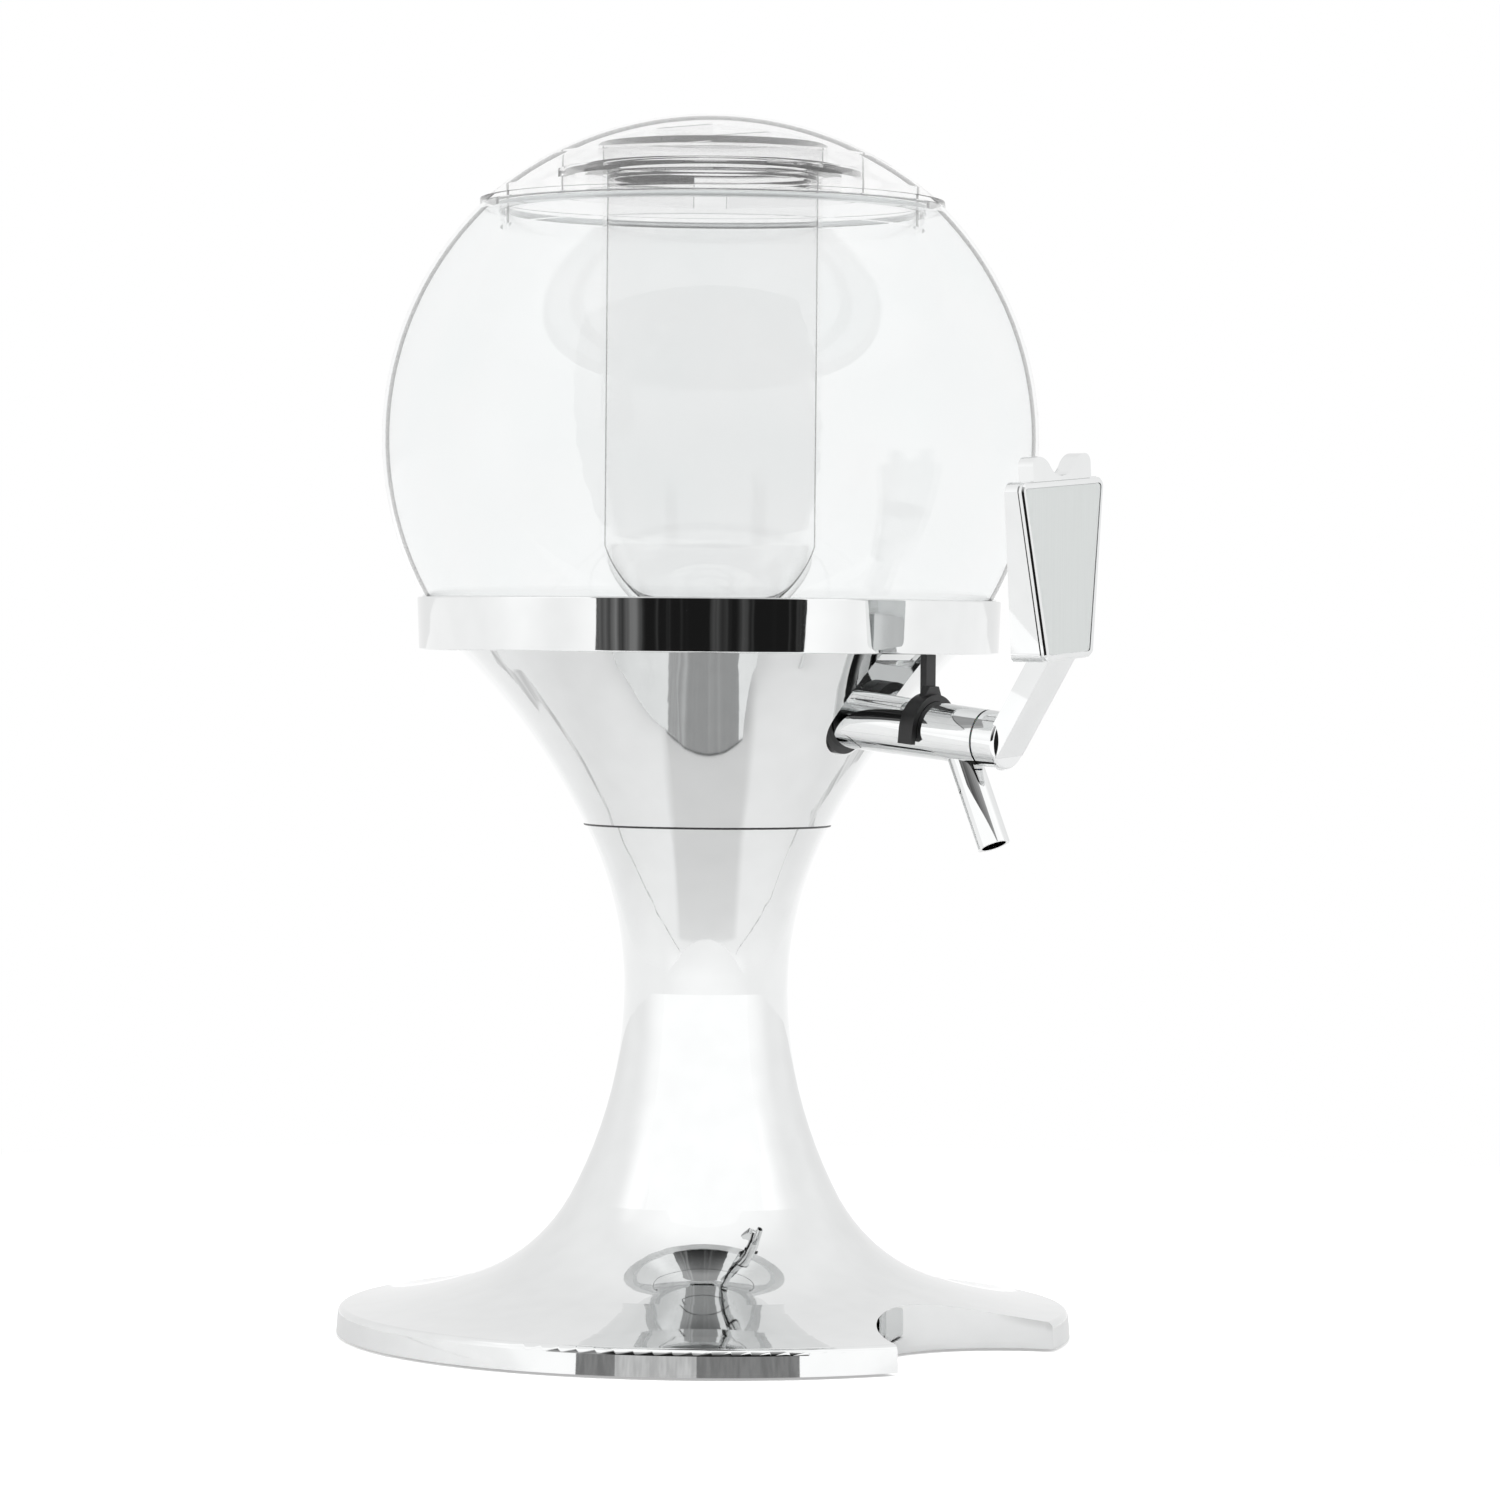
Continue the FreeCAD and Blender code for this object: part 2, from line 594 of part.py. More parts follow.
# The globe: clear moulding with a ledge on the collar and a sump down in the funnel
inside = size.globe_radius - size.globe_wall
sump_side = sump_floor_radius - size.globe_wall
mouth_height = globe_centre + root(size.globe_radius * size.globe_radius - size.mouth_rim * size.mouth_rim)
mouth_radius = size.mouth_rim - size.mouth_lip
lip_underside = mouth_height - size.globe_wall
globe_solid = revolved("globe_solid", [
    (0, sump_floor),
    (sump_floor_radius - size.sump_corner, sump_floor),
    (sump_floor_radius, sump_floor + size.sump_corner, "left", size.sump_corner),
    (sump_top_radius, ledge),
    (globe_radius_at(ledge, size.globe_radius), ledge),
    (size.mouth_rim, mouth_height, "left", size.globe_radius),
    (0, mouth_height),
])
globe_room = revolved("globe_room", [
    (0, sump_floor + size.globe_wall),
    (sump_side - size.sump_corner, sump_floor + size.globe_wall),
    (sump_side, sump_floor + size.globe_wall + size.sump_corner, "left", size.sump_corner),
    (sump_top_radius - size.globe_wall, ledge + size.globe_wall),
    (globe_radius_at(ledge + size.globe_wall, inside), ledge + size.globe_wall),
    (globe_radius_at(lip_underside, inside), lip_underside, "left", inside),
    (mouth_radius, lip_underside),
    (mouth_radius, mouth_height + size.cut_over),
    (0, mouth_height + size.cut_over),
])
recess_top = ledge - tap_height
recess_half = pocket_half + size.lift_clearance
recess = slot_shape("recess", recess_half, recess_top, -seat_depth)
recess_wall = slot_shape("recess_wall", recess_half + size.globe_wall, recess_top + size.globe_wall,
                         -seat_depth - size.globe_wall)
shank_back = (seat_depth + size.globe_wall + size.inner_washer_thickness
              + size.nut_thickness + size.shank_spare)
shank_way = rod("shank_way", size.shank_radius + size.fit_gap, shank_back,
                TAP + [turned(UP, 0, (0, 0, -shank_back))])
globe_inside = cut("globe_inside", globe_room, recess_wall)
node(cut("globe_shell", globe_solid, recess, globe_inside, shank_way), "globe")


# Seals and nut that clamp the tap to the globe
def sleeve(label, radius, bore, length, start):
    """Round sleeve on the tap's axis."""
    spot = TAP + [turned(UP, 0, (0, 0, start))]
    return cut(label, rod("sleeve", radius, length, spot), rod("sleeve_bore", bore, length, spot))


thread_gap = size.shank_radius + size.running_gap
node(sleeve("grommet", size.grommet_radius, thread_gap, size.grommet_thickness, -size.grommet_thickness),
     "tap_grommet")
washer_start = -seat_depth - size.globe_wall - size.inner_washer_thickness
node(sleeve("washer", size.inner_washer_radius, thread_gap, size.inner_washer_thickness, washer_start),
     "tap_washer")
nut_spot = TAP + [turned(UP, 0, (0, 0, washer_start - size.nut_thickness))]
nut_blank = doc.addObject("Part::Prism", "nut_blank")
nut_blank.Polygon = 6
nut_blank.setExpression("Circumradius", size.nut_radius.text)
nut_blank.setExpression("Height", size.nut_thickness.text)
place(nut_blank, nut_spot)
node(cut("nut", nut_blank, rod("nut_bore", thread_gap, size.nut_thickness, nut_spot)), "tap_nut")

# The tap's body: barrel, threaded shank and slanted spout in one plated moulding
barrel = revolved("barrel", [
    (0, -shank_back),
    (size.shank_radius, -shank_back),
    (size.shank_radius, 0),
    (size.barrel_root_radius, 0),
    (size.barrel_end_radius, size.barrel_length),
    (0, size.barrel_length),
])
place(barrel, TAP)
spout_place = size.barrel_length - size.spout_back
spout_way = TAP + [turned(ACROSS, QUARTER - size.spout_slant, (0, 0, spout_place))]
spout = rod("spout", size.spout_radius, size.spout_length, spout_way)
spout_hole = rod("spout_hole", size.spout_bore, size.spout_length + size.cut_over, spout_way)
flow_hole = rod("flow_hole", size.flow_radius, shank_back + size.barrel_length,
                TAP + [turned(UP, 0, (0, 0, -shank_back))])
plug_start = size.barrel_length - size.plug_depth
plug_hole = rod("plug_hole", size.plug_radius, size.plug_depth + size.cut_over,
                TAP + [turned(UP, 0, (0, 0, plug_start))])
node(cut("tap", joined("tap_solid", barrel, spout), flow_hole, plug_hole, spout_hole), "tap_body")

# The turning plug: a bore from its inner end meets a side port, closed while the lever is upright
plug_side = size.plug_radius - size.running_gap
plug_end = size.barrel_length + size.seam_gap
plug_base = plug_start + size.fit_gap
groove_foot = plug_side - size.ring_section * 2
half_groove = size.ring_groove_width / 2
ring_places = [plug_start + size.ring_inset, size.barrel_length - size.ring_inset]
plug_outline = [(0, plug_base), (plug_side, plug_base)]
for spot in ring_places:
    plug_outline += [
        (plug_side, spot - half_groove),
        (groove_foot, spot - half_groove),
        (groove_foot, spot + half_groove),
        (plug_side, spot + half_groove),
    ]
plug_outline += [
    (plug_side, plug_end),
    (size.drive_radius, plug_end),
    (size.drive_radius, plug_end + size.drive_length),
    (0, plug_end + size.drive_length),
]
plug = place(revolved("plug", plug_outline), LEVER)
plug_bore = rod("plug_bore", size.flow_radius, spout_place + size.flow_radius - plug_start,
                LEVER + [turned(UP, 0, (0, 0, plug_start))])
side_port = rod("side_port", size.flow_radius, size.plug_radius * 2,
                LEVER + [turned(ALONG, -QUARTER, (0, 0, spout_place))])
node(cut("plug_way", plug, plug_bore, side_port), "valve_plug")

# Rubber rings in the plug's grooves
rings = []
for spot in ring_places:
    ring = doc.addObject("Part::Torus", "ring")
    ring.setExpression("Radius1", (plug_side - size.ring_section).text)
    ring.setExpression("Radius2", size.ring_section.text)
    rings.append(place(ring, LEVER + [turned(UP, 0, (0, 0, spot))]))
node(group("rings", rings), "valve_rings")

# The handle's frame sits on the end of the lever's arm: Z out through its face, Y straight up
cap_end = plug_end + size.cap_length
half_thick = size.arm_thickness / 2
arm_rise = size.arm_length * cosine(size.arm_slant) - half_thick * sine(size.arm_slant)
arm_run = size.arm_length * sine(size.arm_slant) + half_thick * cosine(size.arm_slant)
handle_out = cap_end - size.arm_sink + arm_run + size.handle_front
HANDLE = LEVER + [turned(ACROSS, -size.tap_droop, (0, arm_rise - size.arm_bite, handle_out))]


def face_outline(inset, corner):
    """Handle seen from the front, narrower at its foot, with round corners."""
    foot = size.handle_foot_width / 2 - inset
    head = size.handle_head_width / 2 - inset
    low = as_size(inset)
    high = size.handle_height - inset
    slope = (head - foot) / (high - low)
    low_side = foot + slope * corner
    high_side = head - slope * corner
    return [
        (-(foot - corner), low, "left", corner),
        (foot - corner, low),
        (low_side, low + corner, "left", corner),
        (high_side, high - corner),
        (head - corner, high, "left", corner),
        (-(head - corner), high),
        (-high_side, high - corner, "left", corner),
        (-low_side, low + corner),
    ]


# The handle's body: deeper at its foot, with a horned crest on its head and a step for the front frame
handle_outline = face_outline(0, size.handle_corner)
face_block = place(padded("face_block", "XY_Plane", handle_outline, size.handle_foot_depth),
                   HANDLE + [turned(UP, 0, (0, 0, -size.handle_foot_depth))])
wedge = place(padded("wedge", "YZ_Plane", [
    (-size.cut_over, -size.handle_foot_depth),
    (0, -size.handle_foot_depth),
    (size.handle_height, -size.handle_head_depth),
    (size.handle_height + size.cut_over, -size.handle_head_depth),
    (size.handle_height + size.cut_over, size.cut_over),
    (-size.cut_over, size.cut_over),
], size.handle_head_width * 2, True), HANDLE)
crest_base = size.handle_height - size.handle_corner
crest_top = size.handle_height + size.horn_height
half_crest = size.horn_width / 2
horn_peak = half_crest - size.horn_round
half_scoop = size.scoop_depth / 2
scoop_bend = (horn_peak * horn_peak + size.scoop_depth * size.scoop_depth) / (size.scoop_depth * 4)
crest = place(padded("crest", "XY_Plane", [
    (-half_crest, crest_base),
    (half_crest, crest_base),
    (half_crest, crest_top - size.horn_round),
    (horn_peak, crest_top, "left", size.horn_round),
    (horn_peak / 2, crest_top - half_scoop, "left", scoop_bend),
    (0, crest_top - size.scoop_depth, "right", scoop_bend),
    (-horn_peak / 2, crest_top - half_scoop, "right", scoop_bend),
    (-horn_peak, crest_top, "left", scoop_bend),
    (-half_crest, crest_top - size.horn_round, "left", size.horn_round),
], size.handle_head_depth - size.horn_setback * 2),
    HANDLE + [turned(UP, 0, (0, 0, size.horn_setback - size.handle_head_depth))])
frame_room = place(padded("frame_room", "XY_Plane", handle_outline, size.face_depth + size.cut_over),
                   HANDLE + [turned(UP, 0, (0, 0, -size.face_depth))])
handle_solid = joined("handle_solid", shared("handle_wedge", face_block, wedge), crest)
handle_back = cut("handle_back", handle_solid, frame_room)
node(handle_back, "handle_body")

# The front frame, bevelled all round, and the panel seated in it
frame_outline = face_outline(size.face_line, size.handle_corner)
frame_foot = place(padded("frame_foot", "XY_Plane", frame_outline, size.face_depth - size.face_edge),
                   HANDLE + [turned(UP, 0, (0, 0, -size.face_depth))])
frame_bevel = padded("frame_bevel", "XY_Plane", frame_outline, size.face_edge)
frame_bevel.Tip.setExpression("TaperAngle", (-QUARTER / 2).text)
place(frame_bevel, HANDLE + [turned(UP, 0, (0, 0, -size.face_edge))])
panel_corner = size.handle_corner / 2
panel_spot = HANDLE + [turned(UP, 0, (0, 0, -size.panel_seat))]
panel_seat = place(padded("panel_seat", "XY_Plane", face_outline(size.panel_inset, panel_corner),
                          size.panel_seat + size.cut_margin), panel_spot)
node(cut("frame", joined("frame_solid", frame_foot, frame_bevel), panel_seat), "handle_frame")
panel = place(padded("panel", "XY_Plane", face_outline(size.panel_inset + size.fit_gap, panel_corner),
                     size.panel_thickness), panel_spot)
node(panel, "handle_panel")

# The lever: cap over the plug's shaft, with an arm that slants up to the handle
socket_end = plug_end + size.drive_length + size.fit_gap
lever_cap = place(revolved("lever_cap", [
    (size.drive_radius + size.running_gap, plug_end),
    (size.cap_radius, plug_end),
    (size.cap_radius, cap_end - size.cap_round),
    (size.cap_radius - size.cap_round, cap_end, "left", size.cap_round),
    (0, cap_end),
    (0, socket_end),
    (size.drive_radius + size.running_gap, socket_end),
]), LEVER)
half_arm = size.arm_width / 2
arm = place(padded("arm", "XY_Plane", [
    (-half_arm, 0),
    (0, -half_arm, "left", half_arm),
    (half_arm, 0, "left", half_arm),
    (half_arm, size.arm_length),
    (-half_arm, size.arm_length),
], size.arm_thickness), LEVER + [turned(ACROSS, size.arm_slant, (0, 0, cap_end - size.arm_sink))])
drive_room = rod("drive_room", size.drive_radius + size.running_gap, size.drive_length + size.fit_gap,
                 LEVER + [turned(UP, 0, (0, 0, plug_end))])
node(cut("lever", joined("lever_solid", lever_cap, arm), drive_room, handle_back), "lever_arm")

# Black support clip: hangs from the collar and steadies the barrel
taper = (size.barrel_end_radius - size.barrel_root_radius) / size.barrel_length
clip_start = clip_place - size.clip_width / 2
clip_bore = size.barrel_root_radius + taper * clip_start + size.clip_gap
clip_radius = clip_bore + size.clip_wall
saddle = place(padded("saddle", "XY_Plane", [
    (-clip_radius, -size.clip_leg),
    (-clip_bore, -size.clip_leg),
    (-clip_bore, 0),
    (0, clip_bore, "right", clip_bore),
    (clip_bore, 0, "right", clip_bore),
    (clip_bore, -size.clip_leg),
    (clip_radius, -size.clip_leg),
    (clip_radius, 0),
    (0, clip_radius, "left", clip_radius),
    (-clip_radius, 0, "left", clip_radius),
], size.clip_width), TAP + [turned(UP, 0, (0, 0, clip_start))])
gusset_foot = (clip_radius + clip_bore) / 2
gusset_top = clip_radius + size.gusset_rise
half_strap = size.strap_width / 2
gusset = place(padded("gusset", "XY_Plane", [
    (-size.gusset_width / 2, gusset_foot * cosine(size.gusset_spread)),
    (size.gusset_width / 2, gusset_foot * cosine(size.gusset_spread)),
    (half_strap, gusset_top),
    (-half_strap, gusset_top),
], size.strap_thickness), TAP + [turned(UP, 0, (0, 0, clip_place - size.strap_thickness / 2))])
strap_foot = clip_height + gusset_foot
strap = block("strap", (size.strap_width, size.strap_thickness, collar_base - strap_foot),
              [turned(UP, 0, (-half_strap, -clip_out - size.strap_thickness / 2, strap_foot))])
stud = rod("stud", size.stud_radius, size.stud_length, [turned(UP, 0, (0, -clip_out, collar_base))])
clip_way = rod("clip_way", clip_bore, size.clip_width + size.cut_over * 2,
               TAP + [turned(UP, 0, (0, 0, clip_start - size.cut_over))])
node(joined("clip", cut("clip_saddle", joined("saddle_gusset", saddle, gusset), clip_way), strap, stud),
     "support_clip")

# The lid: clear dome on the mouth, with a skirt, and a holder for the ice tube
rim_foot = mouth_height + size.fit_gap
rim_top = rim_foot + size.lid_edge
lid_radius = mouth_radius + size.lid_overlap
dome_foot = lid_radius - size.rim_land
dome_centre = rim_top - root(size.lid_bend * size.lid_bend - dome_foot * dome_foot)
lid_top = dome_centre + size.lid_bend
dome_inside = size.lid_bend - size.lid_wall
skirt_radius = mouth_radius - size.lid_skirt_gap
skirt_bore = skirt_radius - size.lid_skirt_wall


def dome_height_at(radius, bend):
    """Height of a dome about the lid's centre at a radius."""
    return dome_centre + root(bend * bend - radius * radius)


ring_height = mouth_height - size.globe_wall / 2
ring_centre = mouth_radius - size.running_gap - size.lid_ring_section
lid_groove = ring_centre - size.lid_ring_section
dome = revolved("dome", [
    (skirt_radius, rim_foot),
    (lid_radius, rim_foot),
    (lid_radius, rim_top),
    (dome_foot, rim_top),
    (0, lid_top, "left", size.lid_bend),
    (0, lid_top - size.lid_wall),
    (skirt_bore, dome_height_at(skirt_bore, dome_inside), "right", dome_inside),
    (skirt_bore, rim_foot - size.lid_skirt_depth),
    (skirt_radius, rim_foot - size.lid_skirt_depth),
    (skirt_radius, ring_height - size.lid_ring_section),
    (lid_groove, ring_height - size.lid_ring_section),
    (lid_groove, ring_height + size.lid_ring_section),
    (skirt_radius, ring_height + size.lid_ring_section),
])
cap_rim = size.tube_radius + size.cap_brim
holder_radius = cap_rim + size.holder_spread
holder_bore = holder_radius - size.lid_wall
flange_height = lid_top - size.holder_drop
holder_foot = flange_height - size.holder_skirt
holder = revolved("holder", [
    (holder_bore, holder_foot),
    (holder_radius, holder_foot),
    (holder_radius, dome_height_at(holder_radius, size.lid_bend - size.lid_wall / 2)),
    (holder_bore, dome_height_at(holder_bore, size.lid_bend - size.lid_wall / 2)),
])
flange_top = flange_height + size.flange_thickness
lug_pitch = as_size(360) / size.lug_count
gap_angle = size.lug_gap / holder_radius * (180 / math.pi)


def lug_sector(label, inner, outer, low, high, span, start):
    """Part of a ring round the axis, from a start angle through a span."""
    sector = revolved(label, [(inner, low), (outer, low), (outer, high), (inner, high)], span)
    return place(sector, [turned(UP, start)])


window_inner = holder_bore - size.cut_margin
window_outer = holder_radius + size.cut_margin
entry_span = size.lug_span + gap_angle * 2
holder_cuts = []
lugs = []
for index in range(int(size.lug_count.value)):
    angle = lug_pitch * index
    window = lug_sector("window", window_inner, window_outer, flange_height - size.lug_gap,
                        flange_top + size.lug_gap, entry_span + size.twist_span, angle - gap_angle)
    entry = lug_sector("entry", window_inner, window_outer, holder_foot - size.cut_margin,
                       flange_top, entry_span, angle + size.twist_span - gap_angle)
    holder_cuts += [window, entry]
    lugs.append(lug_sector("lug", holder_bore - size.lug_root, holder_radius - size.fit_gap,
                           flange_height, flange_top, size.lug_span, angle))
node(cut("lid_parts", joined("lid_solid", dome, holder), *holder_cuts), "lid")

# Clear silicone ring round the lid's skirt
lid_ring = doc.addObject("Part::Torus", "lid_ring")
lid_ring.setExpression("Radius1", ring_centre.text)
lid_ring.setExpression("Radius2", size.lid_ring_section.text)
node(place(lid_ring, [turned(UP, 0, (0, 0, ring_height))]), "lid_seal")

# The ice tube: clear, closed at its foot, with a flange and bayonet lugs at its top
tube_bore = size.tube_radius - size.tube_wall
tube_foot = flange_height - size.tube_length
tube_shoulder = tube_foot + size.tube_rise
tube_foot_radius = size.tube_radius - size.tube_foot_inset
flange_radius = holder_bore - size.lug_gap
tube = revolved("tube", [
    (0, tube_foot),
    (tube_foot_radius, tube_foot),
    (size.tube_radius, tube_shoulder, "left", size.tube_foot_bend),
    (size.tube_radius, flange_height),
    (flange_radius, flange_height),
    (flange_radius, flange_top),
    (tube_bore, flange_top),
    (tube_bore, tube_shoulder),
    (tube_foot_radius - size.tube_wall, tube_foot + size.tube_wall, "right",
     size.tube_foot_bend - size.tube_wall),
    (0, tube_foot + size.tube_wall),
])
node(joined("tube_solid", tube, *lugs), "ice_tube")

# The ice tube's cap: plugs the tube and has two ribs to turn it by
cap_plug = tube_bore - size.fit_gap
cap_plate = flange_top + size.tube_wall
hat_radius = cap_rim - size.cap_step
hat_top = lid_top - size.hat_drop
half_grip = size.grip_length / 2
grip_side = (size.grip_spacing + size.grip_thickness) / 2
grip_corner = root(grip_side * grip_side + half_grip * half_grip)
grip_top = dome_height_at(grip_corner, dome_inside) - size.grip_clearance
grip_foot = hat_top - size.tube_wall / 2
cap = revolved("cap", [
    (cap_plug - size.tube_wall, flange_top - size.cap_plug_depth),
    (cap_plug, flange_top - size.cap_plug_depth),
    (cap_plug, flange_top),
    (cap_rim, flange_top),
    (cap_rim, cap_plate),
    (hat_radius, cap_plate),
    (hat_radius, hat_top),
    (0, hat_top),
    (0, hat_top - size.tube_wall),
    (hat_radius - size.tube_wall, hat_top - size.tube_wall),
    (hat_radius - size.tube_wall, cap_plate),
    (cap_plug - size.tube_wall, cap_plate),
])
ribs = [block("rib", (size.grip_thickness, size.grip_length, grip_top - grip_foot), [
    turned(UP, 0, (size.grip_spacing / 2 * side - size.grip_thickness / 2, -half_grip, grip_foot))])
    for side in (-1, 1)]
node(joined("cap_solid", cap, *ribs), "ice_tube_cap")

doc.recompute()
for item in doc.Objects:
    if "Invalid" in item.State or "Error" in item.State:
        raise RuntimeError(f"{item.Label} failed: {item.State}")
for item in nodes:
    if item.Shape.isNull() or not item.Shape.isValid():
        raise RuntimeError(f"{item.Label} has no sound shape")

os.makedirs("parts", exist_ok=True)
for item in nodes:
    item.Shape.exportStep(f"parts/{item.Label}.step")
    print(item.Label, len(item.Shape.Solids), "solids,", round(item.Shape.Volume), "mm3")
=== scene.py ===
import math

import bpy
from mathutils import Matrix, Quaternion, Vector


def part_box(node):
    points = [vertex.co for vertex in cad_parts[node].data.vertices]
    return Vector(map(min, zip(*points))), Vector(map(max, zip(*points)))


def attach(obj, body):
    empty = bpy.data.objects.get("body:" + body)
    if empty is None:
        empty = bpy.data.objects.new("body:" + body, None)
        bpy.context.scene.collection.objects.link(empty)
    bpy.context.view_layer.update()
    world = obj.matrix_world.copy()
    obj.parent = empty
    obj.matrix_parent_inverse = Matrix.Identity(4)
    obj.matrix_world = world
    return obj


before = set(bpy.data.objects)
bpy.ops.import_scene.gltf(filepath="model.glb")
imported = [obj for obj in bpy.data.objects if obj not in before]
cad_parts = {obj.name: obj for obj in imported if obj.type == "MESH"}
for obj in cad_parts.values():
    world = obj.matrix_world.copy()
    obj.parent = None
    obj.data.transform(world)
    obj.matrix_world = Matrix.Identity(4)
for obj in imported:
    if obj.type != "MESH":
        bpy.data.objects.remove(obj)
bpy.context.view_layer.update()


# The stand: one hollow moulding in ABS, plated with nickel and bright chrome. The foot, the stem
# and the plug on its top are one skin, and a round bay is left out of the foot for the glass.
MM = 0.001


def linear(code):
    """An sRGB hex colour as linear red, green, blue and alpha."""
    parts = [int(code[at:at + 2], 16) / 255 for at in (1, 3, 5)]
    return [part / 12.92 if part <= 0.04045 else ((part + 0.055) / 1.055) ** 2.4 for part in parts] + [1]


def add_node(tree, kind, settings=None, links=None):
    """One node with its settings, socket values and links. A number stands for a socket by its place."""
    item = tree.nodes.new(kind)
    for name, value in (settings or {}).items():
        if isinstance(name, int) or name in item.inputs:
            item.inputs[name].default_value = value
        else:
            setattr(item, name, value)
    for name, source in (links or {}).items():
        tree.links.new(source, item.inputs[name])
    return item


def new_material(name):
    """An empty material and its tree."""
    material = bpy.data.materials.new(name)
    material.use_nodes = True
    material.node_tree.nodes.clear()
    return material, material.node_tree


def dress(name, material):
    """Gives a carried-over piece its material."""
    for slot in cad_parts[name].material_slots:
        slot.material = material


def bright_chrome_on_abs():
    """Chromed ABS: a mirror with the faint swell of a thin moulding under it, and hair-fine wiping marks."""
    material, tree = new_material("bright_chrome_on_abs")
    swell_width = 9 * MM
    # Real wiping marks are finer, and are drawn as coarse as they need to be to show
    wipe_width = 0.5 * MM
    place = add_node(tree, "ShaderNodeTexCoord").outputs["Object"]
    swell = add_node(tree, "ShaderNodeTexNoise", {"Scale": 1 / swell_width, "Detail": 1.0, "Roughness": 0.4},
                     {"Vector": place}).outputs["Fac"]
    wipes = add_node(tree, "ShaderNodeTexNoise", {"Scale": 1 / wipe_width, "Detail": 3.0, "Roughness": 0.6},
                     {"Vector": place}).outputs["Fac"]
    sheen = add_node(tree, "ShaderNodeMapRange", {"To Min": 0.015, "To Max": 0.05}, {"Value": wipes})
    tone = add_node(tree, "ShaderNodeMix", {"data_type": "RGBA", 6: linear("#DEDFDF"), 7: linear("#E4E5E5")},
                    {"Factor": swell})
    relief = add_node(tree, "ShaderNodeBump", {"Strength": 0.12, "Distance": 0.02 * MM}, {"Height": swell})
    shader = add_node(tree, "ShaderNodeBsdfPrincipled", {"Metallic": 1.0}, {
        "Base Color": tone.outputs[2], "Roughness": sheen.outputs["Result"],
        "Normal": relief.outputs["Normal"]})
    add_node(tree, "ShaderNodeOutputMaterial", {}, {"Surface": shader.outputs["BSDF"]})
    return material


chrome = bright_chrome_on_abs()
dress("pedestal_shell", chrome)


# The cover plate: a flat black ABS moulding that closes the foot from below, with an even fine
# spark-eroded grain. It is screwed up into five bosses inside the foot.
def moulded_black_abs():
    """Moulded black ABS: dark grey in the light, with a fine grain that breaks up its gloss."""
    material, tree = new_material("moulded_black_abs")
    # Real grain is finer, and is drawn as coarse as it needs to be to show
    grain_width = 0.35 * MM
    place = add_node(tree, "ShaderNodeTexCoord").outputs["Object"]
    grain = add_node(tree, "ShaderNodeTexNoise", {"Scale": 1 / grain_width, "Detail": 2.0},
                     {"Vector": place}).outputs["Fac"]
    tone = add_node(tree, "ShaderNodeMix", {"data_type": "RGBA", 6: linear("#0C0C0D"), 7: linear("#151516")},
                    {"Factor": grain})
    sheen = add_node(tree, "ShaderNodeMapRange", {"To Min": 0.34, "To Max": 0.5}, {"Value": grain})
    relief = add_node(tree, "ShaderNodeBump", {"Strength": 0.35, "Distance": 0.05 * MM}, {"Height": grain})
    shader = add_node(tree, "ShaderNodeBsdfPrincipled", {"IOR": 1.52}, {
        "Base Color": tone.outputs[2], "Roughness": sheen.outputs["Result"],
        "Normal": relief.outputs["Normal"]})
    add_node(tree, "ShaderNodeOutputMaterial", {}, {"Surface": shader.outputs["BSDF"]})
    return material


black_abs = moulded_black_abs()
dress("base_plate", black_abs)


# The feet: five discs of moulded black rubber, pressed into seats in the plate so that the stand
# doesn't slide.
def moulded_black_rubber():
    """Moulded rubber: near black and dull, with soft mottling and a sheen at grazing angles."""
    material, tree = new_material("moulded_black_rubber")
    mottle_width = 1.2 * MM
    place = add_node(tree, "ShaderNodeTexCoord").outputs["Object"]
    mottle = add_node(tree, "ShaderNodeTexNoise", {"Scale": 1 / mottle_width, "Detail": 4.0},
                      {"Vector": place}).outputs["Fac"]
    tone = add_node(tree, "ShaderNodeMix", {"data_type": "RGBA", 6: linear("#0E0E0F"), 7: linear("#1B1B1C")},
                    {"Factor": mottle})
    sheen = add_node(tree, "ShaderNodeMapRange", {"To Min": 0.3, "To Max": 0.55}, {"Value": mottle})
    relief = add_node(tree, "ShaderNodeBump", {"Strength": 0.25, "Distance": 0.06 * MM}, {"Height": mottle})
    shader = add_node(tree, "ShaderNodeBsdfPrincipled", {"IOR": 1.5, "Sheen Weight": 0.15}, {
        "Base Color": tone.outputs[2], "Roughness": sheen.outputs["Result"],
        "Normal": relief.outputs["Normal"]})
    add_node(tree, "ShaderNodeOutputMaterial", {}, {"Surface": shader.outputs["BSDF"]})
    return material


black_rubber = moulded_black_rubber()
dress("rubber_feet", black_rubber)


# The screws: five steel screws with round heads, zinc-plated against rust, and driven up through
# the plate into the foot's bosses.
def zinc_plated_steel():
    """Zinc-plated steel: grey with a bluish cast, and cloudy where the bath left it uneven."""
    material, tree = new_material("zinc_plated_steel")
    cloud_width = 2.5 * MM
    place = add_node(tree, "ShaderNodeTexCoord").outputs["Object"]
    cloud = add_node(tree, "ShaderNodeTexNoise", {"Scale": 1 / cloud_width, "Detail": 3.0},
                     {"Vector": place}).outputs["Fac"]
    tone = add_node(tree, "ShaderNodeMix", {"data_type": "RGBA", 6: linear("#A9AFB5"), 7: linear("#C3C8CC")},
                    {"Factor": cloud})
    sheen = add_node(tree, "ShaderNodeMapRange", {"To Min": 0.22, "To Max": 0.4}, {"Value": cloud})
    shader = add_node(tree, "ShaderNodeBsdfPrincipled", {"Metallic": 1.0}, {
        "Base Color": tone.outputs[2], "Roughness": sheen.outputs["Result"]})
    add_node(tree, "ShaderNodeOutputMaterial", {}, {"Surface": shader.outputs["BSDF"]})
    return material


dress("base_screws", zinc_plated_steel())

